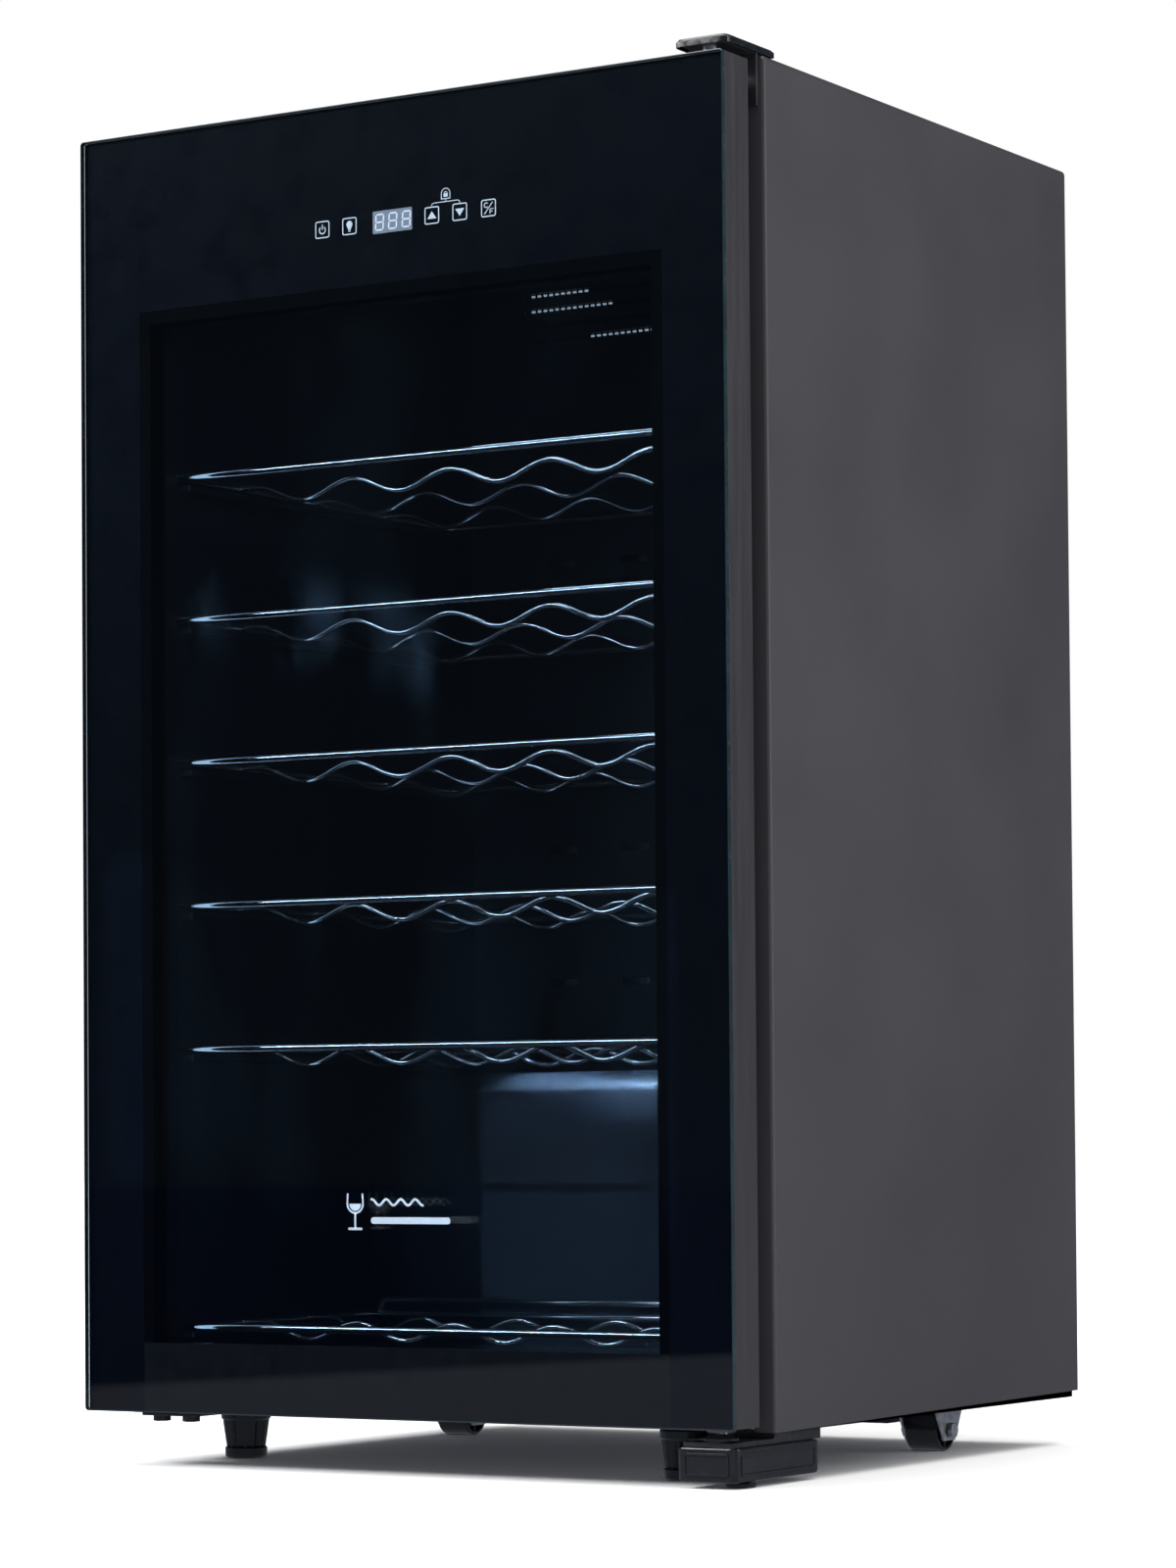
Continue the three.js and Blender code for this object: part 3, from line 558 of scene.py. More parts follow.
LOOKS = {
    "cabinet": cabinet_paint(),
    "frame": frame_finish(),
    "liner": liner_plastic(),
    "gloss": gloss_black(),
    "chrome": chrome(),
    "dark_steel": dark_steel(),
    "zinc": zinc(),
    "rubber": rubber(),
    "grey_plastic": moulded("grey_plastic", (0.05, 0.05, 0.055), 0.42),
    "black_plastic": moulded("black_plastic", (0.01, 0.011, 0.013), 0.36),
    "enamel": moulded("black_enamel", (0.012, 0.012, 0.014), 0.22),
    "copper": simple_metal("copper", (0.62, 0.27, 0.14), 0.28),
    "aluminium": simple_metal("aluminium", (0.62, 0.64, 0.66), 0.35),
    "spacer": matt_black("dark_spacer"),
    "board": moulded("circuit_board", (0.01, 0.07, 0.035), 0.4),
    "lens": moulded("lamp_lens", (0.7, 0.74, 0.8), 0.45),
    "foam": foam(),
    "front_glass": pane("front_glass", (0.62, 0.66, 0.7)),
    # The inner pane carries the faint streaky film: a smear whose blue tint is painted reflection.
    "inner_glass": pane("inner_glass", (0.9, 0.93, 0.95), 0.012),
    "glass_edge": gloss_black("polished_edge", (0.01, 0.02, 0.026)),
    "print": printed_enamel(),
    "black_print": moulded("black_print", (0.0012, 0.0014, 0.002), 0.5),
    # The white marks glow a little: painted brightness standing in for light falling on the print.
    "white_print_painted_glow": lit("white_print_painted_glow", (0.9, 0.92, 0.95), 0.85),
    "display_face": lit("display_face", (0.42, 0.45, 0.5), 0.35),
    "digits": lit("display_digits", (0.95, 0.97, 1.0), 1.2),
    # Glow of the fin-edge strips: a painted glint of the cabinet lamp, not lit by any light.
    "painted_glint": lit("painted_fin_glint", (0.8, 0.88, 0.95), 0.9),
}


# ---- how pieces join the frame ----
def paint(piece, look_name):
    piece.data.materials.clear()
    piece.data.materials.append(LOOKS[look_name])
    return piece


def stand_for(piece, look_name, *nodes):
    """The piece is shown in place of CAD nodes, and moves with their body."""
    paint(piece, look_name)
    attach(piece, body_of[nodes[0]])
    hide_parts(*nodes)
    return piece


def trim(piece, look_name, body):
    """A piece with no CAD node of its own."""
    paint(piece, look_name)
    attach(piece, body)
    return piece


# ---- cabinet ----
def cabinet_shell():
    """One bent sheet over both sides and the top, folded in round the front edge."""
    sheet, fold, bend, crown = 1.2 * MM, 15 * MM, 2.2 * MM, 4 * MM
    notch_depth, notch_rise = 9 * MM, 4 * MM
    front, back = SHELL.y0, SHELL.y1
    section = [(0, back, notch_rise), (0, back - notch_depth, notch_rise), (0, back - notch_depth, 0)]
    section += [(bend - bend * math.cos(a), front + bend - bend * math.sin(a), 0)
                for a in [math.radians(15 * k) for k in range(7)]]
    section += [(fold - sheet / 2, front, 0), (fold, front + sheet / 2, 0)]
    section += [(fold - sheet / 2, front + sheet, 0), (bend + sheet, front + sheet, 0)]
    section += [(sheet, front + sheet * 2, 0), (sheet, back - notch_depth, 0)]
    section += [(sheet, back - notch_depth, notch_rise), (sheet, back, notch_rise)]
    bm = bmesh.new()
    loops = []
    for inset, y, lift in section:
        r = max(crown - inset, 2e-5)
        x1, z1 = SHELL.x1 - inset, SHELL.z1 - inset
        top = arc(x1 - r, z1 - r, r, 0, 90, 6) + arc(-x1 + r, z1 - r, r, 90, 180, 6)
        outline = [(x1, SHELL.z0 + lift), *top, (-x1, SHELL.z0 + lift)]
        loops.append([(x, y, z) for x, z in outline])
    rows = skin(bm, loops, ring=False, closed=True)
    bm.faces.new([row[0] for row in rows])
    bm.faces.new([row[-1] for row in reversed(rows)])
    return stand_for(from_bmesh("shell_panels", bm, 25), "cabinet", "cabinet_shell")


def liner():
    """Moulded lining: a deep tray on its side, with the step over the compressor, its ledges
    and the flat rim round its mouth."""
    wall, rim_depth, radius = 2 * MM, 2 * MM, 9 * MM
    duct, bay = Box("duct_panel"), Box("machine_bay_panel")
    half = LINER.x1 - 16.6 * MM
    floor, ceiling = LINER.z0 + 34.5 * MM, duct.z1 + 1 * MM
    step_face = bay.y0 - 31 * MM
    step_top = duct.z0 - 1 * MM
    mouth, back = LINER.y0, LINER.y1 - wall
    brow = [(0, -14), (0.9, -10.4), (3.2, -6.6), (6.6, -3.4), (10.8, -1.2), (16, 0)]
    side = [(mouth, floor), (step_face, floor)]
    side += [(step_face + dy * MM, step_top + dz * MM) for dy, dz in brow]
    side += [(back, step_top), (back, ceiling), (mouth, ceiling)]
    bm = bmesh.new()
    skin(bm, [[(x, y, z) for y, z in side] for x in (-half, half)], caps=True)
    bm.faces.ensure_lookup_table()
    creases = [e for e in bm.edges if all(v.co.y > mouth + 1e-5 for v in e.verts)
               and e.calc_face_angle(0) > math.radians(40)]
    bmesh.ops.bevel(bm, geom=creases, offset=radius, segments=4, profile=0.5, affect="EDGES",
                    clamp_overlap=True)
    bmesh.ops.remove_doubles(bm, verts=bm.verts, dist=1e-6)
    bmesh.ops.recalc_face_normals(bm, faces=bm.faces)
    opening = [f for f in bm.faces if all(abs(v.co.y - mouth) < 1e-5 for v in f.verts)]
    bmesh.ops.delete(bm, geom=opening, context="FACES")
    bmesh.ops.reverse_faces(bm, faces=bm.faces)
    obj = from_bmesh_keep("liner_tray", bm)
    thicken = obj.modifiers.new("wall", "SOLIDIFY")
    thicken.thickness = wall
    thicken.offset = -1
    apply_modifiers(obj)
    bm = bmesh.new()
    bm.from_mesh(obj.data)
    outer = (LINER.x0, LINER.x1, LINER.z0, LINER.z1, 6 * MM)
    inner = (-half, half, floor, ceiling, 2e-5)
    loops = []
    for (x0, x1, z0, z1, r), y in ((outer, mouth), (outer, mouth + rim_depth),
                                   (inner, mouth + rim_depth), (inner, mouth)):
        loops.append(door_loop(x0, x1, z0, z1, r, y))
    skin(bm, loops, closed=True)
    for name in [f"wire_shelf_{k}" for k in range(1, 7)]:
        shelf_box = Box(name)
        rail = shelf_rail_z(name)
        for s in (-1, 1):
            xs = sorted((s * (half - 9 * MM), s * (half + 1 * MM)))
            add_box(bm, xs[0], xs[1], mouth + 14 * MM, shelf_box.y1 + 0.5 * MM,
                    rail - 8.1 * MM, rail - 3.1 * MM, 1.4 * MM, 3)
    bpy.data.objects.remove(obj)
    return stand_for(from_bmesh("liner", bm, 40), "liner", "inner_liner")


def from_bmesh_keep(name, bm):
    """As from_bmesh, without turning the faces outwards: the surface is open."""
    mesh = bpy.data.meshes.new(name)
    bm.to_mesh(mesh)
    bm.free()
    mesh.shade_smooth()
    return new_object(name, mesh)


def apply_modifiers(obj):
    bpy.context.view_layer.update()
    done = obj.evaluated_get(bpy.context.evaluated_depsgraph_get())
    mesh = bpy.data.meshes.new_from_object(done)
    obj.modifiers.clear()
    obj.data = mesh
    return obj


def shelf_rail_z(node):
    """Height of a shelf's rails: its box runs from the cradles' lowest point to the rails' top."""
    shelf_box = Box(node)
    return shelf_box.z0 + CRADLE_DROP + 0.3 * MM


CRADLE_DROP = 11.1 * MM


# ---- shelves ----
CRADLE = 78 * MM
WAVE_DEPTH = 11 * MM
RAIL_R = 2.7 * MM
WAVE_R = 2.05 * MM


def wave_points(y, z, half, steps=26):
    """A wire that dips under each of five bottles and ends on the side rods."""
    end = CRADLE * 2.5
    points = [(-half, y, z), (-half + 3 * MM, y, z + 0.8 * MM)]
    count = steps * 5
    for i in range(count + 1):
        x = -end + 2 * end * i / count
        lift = (1 - math.cos(2 * math.pi * x / CRADLE)) / 2
        points.append((x, y, z + (lift - 1) * WAVE_DEPTH + 1 * MM))
    return points + [(half - 3 * MM, y, z + 0.8 * MM), (half, y, z)]


def wire_shelf(node, wave_at, stop_rise):
    shelf_box = Box(node)
    z = shelf_rail_z(node)
    half = shelf_box.x1 - RAIL_R
    front, back = shelf_box.y0 + RAIL_R * 0.8, shelf_box.y1 - RAIL_R * 0.8
    bm = bmesh.new()
    for y in (front, back):
        add_tube(bm, [(-shelf_box.x1 + RAIL_R, y, z), (0, y, z), (shelf_box.x1 - RAIL_R, y, z)],
                 RAIL_R, 16)
    for s in (-1, 1):
        add_tube(bm, [(s * half, front, z), (s * half, back, z)], RAIL_R * 0.85, 12)
    for y in wave_at:
        add_tube(bm, wave_points(y, z, half), WAVE_R, 10)
    if stop_rise:
        stop = half - 8 * MM
        r = 5 * MM
        hoop = [(-stop, back, z)]
        hoop += [(x, back, zz) for x, zz in arc(-stop + r, z + stop_rise - r, r, 180, 90, 5)]
        hoop += [(x, back, zz) for x, zz in arc(stop - r, z + stop_rise - r, r, 90, 0, 5)]
        add_tube(bm, hoop + [(stop, back, z)], RAIL_R * 0.9, 12)
    piece = from_bmesh(node + "_wires", bm, 50)
    return stand_for(piece, "chrome", node)


def shelves():
    wave_rows = [GLASS.y0 + d * MM for d in (128, 216, 304)]
    for k in range(1, 6):
        wire_shelf(f"wire_shelf_{k}", wave_rows, 0)
    wire_shelf("wire_shelf_6", [GLASS.y0 + d * MM for d in (128, 204)], 10 * MM)


# ---- door ----
def door():
    stand_for(refined("door_frame", 1.3 * MM, 3), "frame", "door_frame")
    glass = plate("front_glass_pane", GLASS.x0, GLASS.x1, GLASS.y0, GLASS.y1, GLASS.z0, GLASS.z1,
                  2.5 * MM, 0.6 * MM, 20)
    stand_for(glass, "front_glass", "door_outer_glass")
    glass.data.materials.append(LOOKS["glass_edge"])
    for face in glass.data.polygons:
        if abs(face.normal.y) < 0.9:
            face.material_index = 1
    inner = plate("inner_glass_pane", PANE.x0, PANE.x1, PANE.y0, PANE.y1, PANE.z0, PANE.z1,
                  1.5 * MM, 0.4 * MM, 20)
    stand_for(inner, "inner_glass", "door_inner_glass")
    stand_for(refined("glazing_spacer", 0.4 * MM, 2), "spacer", "glazing_spacer")
    printed_border()
    gasket()
    control_panel()


def printed_border():
    """Opaque enamel on the back of the glass, at the top and sides, and a black band below."""
    y0, y1 = GLASS.y1 + 0.05 * MM, GLASS.y1 + 0.12 * MM
    edge = 1.2 * MM
    left, right, top = GLASS.x0 + edge, GLASS.x1 - edge, GLASS.z1 - edge
    low = GLASS.z0 + edge
    bm = bmesh.new()
    outline = [(PANE.x0, low), (left, low), (left, top), (right, top), (right, low),
               (PANE.x1, low), (PANE.x1, PANE.z1), (PANE.x0, PANE.z1)]
    add_prism(bm, outline, y0, y1)
    trim(from_bmesh("printed_border", bm), "print", "door")
    bm = bmesh.new()
    seam = 0.1 * MM
    add_box(bm, PANE.x0 + seam, PANE.x1 - seam, y0, y1, low, PANE.z0 + 9 * MM)
    trim(from_bmesh("lower_black_band", bm), "black_print", "door")


def gasket():
    """Magnetic bellows seal: barbed foot in the frame, two folds and a flat magnet strip."""
    seal = Box("door_gasket")
    y0, y1 = seal.y0, seal.y1
    w = 15 * MM
    depth = y1 - y0
    outer = [(0.5, 0.0), (0.0, 0.06), (0.9, 0.14), (2.6, 0.2), (3.4, 0.27), (2.4, 0.34), (0.9, 0.4),
             (0.2, 0.47), (0.9, 0.54), (2.3, 0.6), (2.6, 0.66), (1.6, 0.7), (1.0, 0.74), (1.0, 0.97),
             (1.5, 1.0)]
    section = [(i * MM, y0 + t * depth) for i, t in outer]
    section += [(w - i * MM, y0 + t * depth) for i, t in reversed(outer)]
    stand_for(ring_sweep("bellows_gasket", seal, 7 * MM, section, 50), "rubber", "door_gasket")


# ---- graphics on the glass ----
class Print:
    """Flat figures on the back of the glass, in millimetres about a centre."""

    def __init__(self, name, y0, y1):
        self.name, self.y0, self.y1 = name, y0, y1
        self.bm = bmesh.new()
        self.at(0, 0)

    def at(self, x, z):
        self.cx, self.cz = x * MM, GLASS.z0 + (z - 4) * MM
        return self

    def shape(self, points):
        outline = [(self.cx + x * MM, self.cz + z * MM) for x, z in points]
        add_prism(self.bm, outline, self.y0, self.y1)
        return self

    def band(self, outer, inner):
        """A closed band between two outlines with the same number of points."""
        loops = []
        for points, y in ((outer, self.y0), (outer, self.y1), (inner, self.y1), (inner, self.y0)):
            loops.append([(self.cx + x * MM, y, self.cz + z * MM) for x, z in points])
        skin(self.bm, loops, closed=True)
        return self

    def frame(self, half, width, r=1.8):
        inner = rounded_rect(-half + width, half - width, -half + width, half - width, r - width)
        return self.band(rounded_rect(-half, half, -half, half, r), inner)

    def stroke(self, points, width):
        """A line of even width through points, with square ends."""
        left, right = [], []
        for i, (x, z) in enumerate(points):
            (ax, az), (bx, bz) = points[max(i - 1, 0)], points[min(i + 1, len(points) - 1)]
            length = math.hypot(bx - ax, bz - az)
            nx, nz = -(bz - az) / length * width / 2, (bx - ax) / length * width / 2
            left.append((x + nx, z + nz))
            right.append((x - nx, z - nz))
        return self.shape(left + right[::-1])

    def finish(self, look_name, slot):
        return trim(from_bmesh(self.name, self.bm), look_name, "door")


def control_panel():
    back = GLASS.y1
    marks = Print("touch_key_marks", back + 0.01 * MM, back + 0.04 * MM)
    row, half = 761, 5.5
    for x in (-53, -32, 31, 52, 73.5):
        marks.at(x, row).frame(half, 0.7, 1.5)
    # power: an open ring and a stroke
    ring = [(2.3 * math.cos(math.radians(a)), 2.3 * math.sin(math.radians(a)) - 0.3)
            for a in range(130, 411, 10)]
    marks.at(-53, row).stroke(ring, 0.75).stroke([(0, -0.1), (0, 3.2)], 0.75)
    # light: a bulb with its cap
    bulb = arc(0, 1.1, 2.3, -50, 230, 14)
    marks.at(-32, row).shape(bulb + [(-1.1, -1.9), (1.1, -1.9)])
    marks.stroke([(-1.1, -2.5), (1.1, -2.5)], 0.5).stroke([(-0.8, -3.3), (0.8, -3.3)], 0.5)
    # up and down
    marks.at(31, row).shape([(-3.4, -2.1), (3.4, -2.1), (0, 2.6)])
    marks.at(52, row).shape([(-3.4, 2.1), (0, -2.6), (3.4, 2.1)])
    # degrees: two small rings and two arcs, parted by a slash
    marks.at(73.5, row).stroke([(-3.0, -3.6), (3.0, 3.6)], 0.6)
    marks.stroke([(x - 1.7, z + 1.9) for x, z in arc(0, 0, 1.5, 40, 320, 10)], 0.6)
    marks.stroke([(1.1, -3.7), (1.1, -0.7), (3.6, -0.7)], 0.6).stroke([(1.1, -2.2), (3.0, -2.2)], 0.55)
    # lock over the bracket that joins up and down
    arch = arc(0, 0.2, 3.5, 0, 180, 16) + [(-3.5, -3.4), (3.5, -3.4)]
    marks.at(41.5, row + 12.6).band(arch, arc(0, 0.2, 2.95, 0, 180, 16) + [(-2.95, -2.85), (2.95, -2.85)])
    marks.shape([(-1.6, -2.0), (1.6, -2.0), (1.6, 0.3), (-1.6, 0.3)])
    marks.stroke([(x, z + 0.3) for x, z in arc(0, 0, 1.05, 0, 180, 8)], 0.45)
    for s in (-1, 1):
        bracket = [(10.5, 5.6), (10.5, 6.5), (9.9, 7.3), (8.9, 7.6), (0, 7.6)]
        marks.at(41.5, row).stroke([(s * x, z) for x, z in bracket], 0.5)
    marks.stroke([(0, 7.6), (0, 9.3)], 0.5)
    marks.finish("white_print_painted_glow", "front_glass")
    face = Print("display_face", back + 0.02 * MM, back + 0.045 * MM).at(1, row)
    face.shape(rounded_rect(-15, 15, -7.2, 7.2, 0.6))
    face.finish("display_face", "grey_plastic")
    digits = Print("display_digits", back + 0.004 * MM, back + 0.018 * MM)
    for x in (-8.8, 1.3, 11.6):
        seven_segments(digits.at(x, row))
    digits.finish("digits", "grey_plastic")
    glass_mark()


def seven_segments(p):
    """All seven bars of one digit, leaning a little."""
    w, h, t, gap, lean = 2.9, 4.9, 0.95, 0.25, 0.06

    def bar(x0, z0, x1, z1):
        length = math.hypot(x1 - x0, z1 - z0)
        dx, dz = (x1 - x0) / length, (z1 - z0) / length
        nx, nz = -dz * t / 2, dx * t / 2
        ax, az, bx, bz = x0 + dx * gap, z0 + dz * gap, x1 - dx * gap, z1 - dz * gap
        tip = t / 2
        points = [(ax, az), (ax + dx * tip + nx, az + dz * tip + nz),
                  (bx - dx * tip + nx, bz - dz * tip + nz), (bx, bz),
                  (bx - dx * tip - nx, bz - dz * tip - nz), (ax + dx * tip - nx, az + dz * tip - nz)]
        p.shape([(x + z * lean, z) for x, z in points])

    for z in (-h, 0, h):
        bar(-w, z, w, z)
    for x in (-w, w):
        bar(x, -h, x, 0)
        bar(x, 0, x, h)


def glass_mark():
    """A plain wine-glass mark with a wavy line over a straight one, low on the door."""
    y = GLASS.y1
    mark = Print("wine_glass_mark", y + 0.01 * MM, y + 0.04 * MM).at(-32, 134.5)
    bowl = [(-5.6, 11.5)] + [(x, z + 5.2) for x, z in arc(0, 0, 6.0, 180, 360, 20)] + [(5.6, 11.5)]
    mark.stroke(bowl, 1.2)
    mark.shape(arc(0, 5.0, 4.5, 180, 360, 16))
    mark.stroke([(0, -0.6), (0, -10.4)], 1.4)
    mark.shape(rounded_rect(-5.4, 5.4, -11.6, -10.0, 0.7))
    mark.at(0, 134.5)
    wave = [(x, 6.0 + 1.9 * math.sin(x * 2 * math.pi / 11)) for x in [-20 + k for k in range(41)]]
    mark.stroke(wave, 1.5)
    mark.shape(rounded_rect(-20, 40, -7.6, -3.4, 2.0))
    mark.finish("white_print_painted_glow", "front_glass")


# ---- hinges ----
def hinges():
    low = Box("bottom_hinge_cover")
    stand_for(refined("top_hinge_cover", 0.7 * MM, 3), "gloss", "top_hinge_cover")
    stand_for(bottom_cover(low), "gloss", "bottom_hinge_cover")
    for node, bevel in (("top_hinge_plate", 0.5), ("bottom_hinge_bracket", 0.7),
                        ("spare_hinge_blank", 0.4)):
        stand_for(refined(node, bevel * MM, 2), "dark_steel", node)
    for node in ("top_hinge_pin", "bottom_hinge_pin"):
        pin = Box(node)
        head_r, r = pin.x1 - pin.x, 4.2 * MM
        up = node.startswith("top")
        head = 1.3 * MM if up else 2.2 * MM
        tip, base = (pin.z0, pin.z1) if up else (pin.z1, pin.z0)
        s = 1 if up else -1
        outline = [(0, tip), (r - 1 * MM, tip), (r, tip + s * 1.2 * MM), (r, base - s * head),
                   (head_r, base - s * head), (head_r, base - s * 0.4 * MM),
                   (head_r - 0.5 * MM, base), (0, base)]
        made = lathe(node + "_turned", outline, (pin.x, pin.y, 0), "Z", 32)
        stand_for(made, "zinc", node)
    washer = Box("hinge_washer")
    r, h = washer.x1 - washer.x, washer.z1 - washer.z0
    outline = [(4.6 * MM, 0), (r - 0.8 * MM, 0), (r, 0.8 * MM), (r, h * 0.45), (r - 1.6 * MM, h * 0.6),
               (r - 3 * MM, h), (4.6 * MM, h)]
    made = lathe("hinge_collar", outline, (washer.x, washer.y, washer.z0), "Z", 40)
    stand_for(made, "gloss", "hinge_washer")
    for node in ("door_bush_top", "door_bush_bottom"):
        bush = Box(node)
        flange, length = bush.x1 - bush.x, bush.z1 - bush.z0
        sign = 1 if node.endswith("top") else -1
        start = bush.z0 if sign == 1 else bush.z1
        outline = [(4.6, 0), (6.2, 0), (6.8, 0.8), (6.8, 12.8), (flange / MM, 12.8),
                   (flange / MM, length / MM - 0.5), (flange / MM - 0.5, length / MM),
                   (4.6, length / MM)]
        outline = [(a * MM, sign * b * MM) for a, b in outline]
        stand_for(lathe(node + "_turned", outline, (bush.x, bush.y, start), "Z", 36),
                  "grey_plastic", node)


def bottom_cover(low):
    """Gloss tray round the bottom bracket, with a raised-edge panel on its front and side."""
    bm = bmesh.new()
    wall, top = 2 * MM, low.z1
    back = low.y1 - 9 * MM
    outer = []
    for inset, z in ((2.0, low.z0), (0.6, low.z0 + 0.6 * MM), (0, low.z0 + 2 * MM), (0, top - 1 * MM),
                     (0.4, top - 0.2 * MM), (0.9, top)):
        i = inset * MM
        outline = rounded_rect(low.x0 + i, low.x1 - i, low.y0 + i, back - i, 4.5 * MM - i)
        outer.append([(x, y, z) for x, y in outline])
    inner = []
    for z in (top, low.z0 + wall):
        outline = rounded_rect(low.x0 + wall, low.x1 - wall, low.y0 + wall, back - wall, 2.5 * MM)
        inner.append([(x, y, z) for x, y in outline])
    skin(bm, outer + inner, caps=True)
    add_box(bm, low.x0 + 6 * MM, low.x1 - 6 * MM, back - 0.4 * MM, low.y1, low.z0 + 4 * MM,
            top - 1.7 * MM, 1.5 * MM, 3)
    # raised frames of the inset panels
    zl, zh = low.z0 + 3.5 * MM, top - 3 * MM
    panel_rim(bm, "front", low.x0 + 5 * MM, low.x1 - 5 * MM, zl, zh, low.y0)
    panel_rim(bm, "side", low.y0 + 6 * MM, back - 6 * MM, zl, zh, low.x1)
    return from_bmesh("bottom_cover", bm, 30)


def panel_rim(bm, facing, a0, a1, z0, z1, face):
    """A raised rim on a wall that faces the front or the right side."""
    rise, width = 0.7 * MM, 1.6 * MM
    loops = []
    for inset, out in ((0, -0.2 * MM), (0.2 * MM, rise), (width, rise), (width + 0.5 * MM, -0.2 * MM)):
        outline = rounded_rect(a0 + inset, a1 - inset, z0 + inset, z1 - inset, 2.2 * MM - inset)
        if facing == "front":
            loops.append([(a, face - out, z) for a, z in outline])
        else:
            loops.append([(face + out, a, z) for a, z in outline])
    skin(bm, loops, closed=True)


# ---- running gear ----
def ribbed_foot(node):
    """Tapered foot with a smooth collar, upright flutes and a smooth band at the floor."""
    foot = Box(node)
    cx, cy = foot.x, foot.y
    collar = (foot.y1 - foot.y0) / 2
    sides, flutes = 96, 16
    rings = [(0.72, 0.0, 0), (0.78, 0.3, 0), (0.84, 1.2, 0), (0.855, 6.6, 0), (0.8, 7.6, 0),
             (0.79, 8.4, 1), (0.86, 16, 1), (0.93, 24.4, 1), (0.94, 25.4, 0), (1.0, 26.4, 0),
             (1.0, 30.6, 0), (0.97, 31.3, 0), (0.26, 31.3, 0), (0.26, 32.9, 0)]
    bm = bmesh.new()
    loops = []
    for share, h, fluted in rings:
        loop = []
        for i in range(sides):
            a = 2 * math.pi * i / sides
            dip = fluted * 0.07 * max(0.0, math.cos(flutes * a)) ** 0.5
            r = collar * (share - dip)
            loop.append((cx + r * math.cos(a), cy + r * math.sin(a), foot.z0 + h * MM))
        loops.append(loop)
    skin(bm, loops, caps=True)
    stand_for(from_bmesh(node + "_ribbed", bm, 30), "gloss", node)


def roller(side):
    wheel = Box("roller_wheel_" + side)
    r, half = (wheel.z1 - wheel.z0) / 2, (wheel.x1 - wheel.x0) / 2
    hub, bore, web = 6.5 * MM, 3.7 * MM, 3 * MM
    outline = [(bore, -half), (hub, -half), (hub, -half + web), (r - 2.6 * MM, -half + web),
               (r - 2.2 * MM, -half), (r - 0.8 * MM, -half), (r, -half + 1 * MM), (r, half - 1 * MM),
               (r - 0.8 * MM, half), (r - 2.2 * MM, half), (r - 2.6 * MM, half - web),
               (hub, half - web), (hub, half), (bore, half)]
    bm = bmesh.new()
    skin(bm, lathe_loops(outline, 48), closed=True)
    for face in (-1, 1):
        for k in range(6):
            a = math.radians(60 * k)
            arm = bmesh.new()
            zs = sorted((face * (half - web - 0.5 * MM), face * (half - 0.8 * MM)))
            add_box(arm, hub - 0.5 * MM, r - 2.3 * MM, -0.8 * MM, 0.8 * MM, zs[0], zs[1], 0.3 * MM, 1)
            bmesh.ops.transform(arm, matrix=Matrix.Rotation(a, 4, "Z"), verts=arm.verts)
            mesh = bpy.data.meshes.new("arm")
            arm.to_mesh(mesh)
            arm.free()
            bm.from_mesh(mesh)
            bpy.data.meshes.remove(mesh)
    place(bm, (wheel.x, wheel.y, wheel.z), "X")
    stand_for(from_bmesh("roller_" + side, bm, 30), "gloss", "roller_wheel_" + side)
    stand_for(refined("roller_bracket_" + side, 0.4 * MM, 2), "zinc", "roller_bracket_" + side)
    stand_for(refined("roller_axle_" + side, 0.5 * MM, 2), "zinc", "roller_axle_" + side)


def running_gear():
    for node in ("levelling_foot_left", "levelling_foot_right"):
        ribbed_foot(node)
    foot = Box("hinge_foot")
    outline = [(0, 0), (8.6, 0), (9.6, 0.5), (10, 1.3), (10, 2.6), (9.5, 3.3), (5, 3.5), (4.2, 4),
               (4, 4.5), (4, 24), (3.5, 24.6), (0, 24.6)]
    made = lathe("hinge_foot_turned", [(r * MM, h * MM) for r, h in outline],
                 (foot.x, foot.y, foot.z0), "Z", 40)
    stand_for(made, "gloss", "hinge_foot")
    for side in ("left", "right"):
        roller(side)


# ---- machine bay and fans ----
def turned(node, outline, centre, look_name, axis="Z", sides=64, sharp=40):
    """A lathe of (radius, height) millimetres that stands for a node."""
    made = lathe(node + "_turned", [(r * MM, h * MM) for r, h in outline], centre, axis, sides, sharp)
    return stand_for(made, look_name, node)


def rounded_path(points, reach=7 * MM, steps=6):
    """The same path with its corners turned into smooth bends."""
    path = [points[0]]
    for before, corner, after in zip(points, points[1:], points[2:]):
        into, out = before - corner, after - corner
        into = into.normalized() * min(reach, into.length * 0.45)
        out = out.normalized() * min(reach, out.length * 0.45)
        for k in range(steps + 1):
            t = k / steps
            path.append(corner + into * (1 - t) ** 2 + out * t ** 2)
    return path + [points[-1]]


def pipe(node, corners, r, look_name):
    bm = bmesh.new()
    add_tube(bm, rounded_path([at(*c) for c in corners]), r * MM, 20, False)
    return stand_for(from_bmesh(node + "_bent", bm, 40), look_name, node)


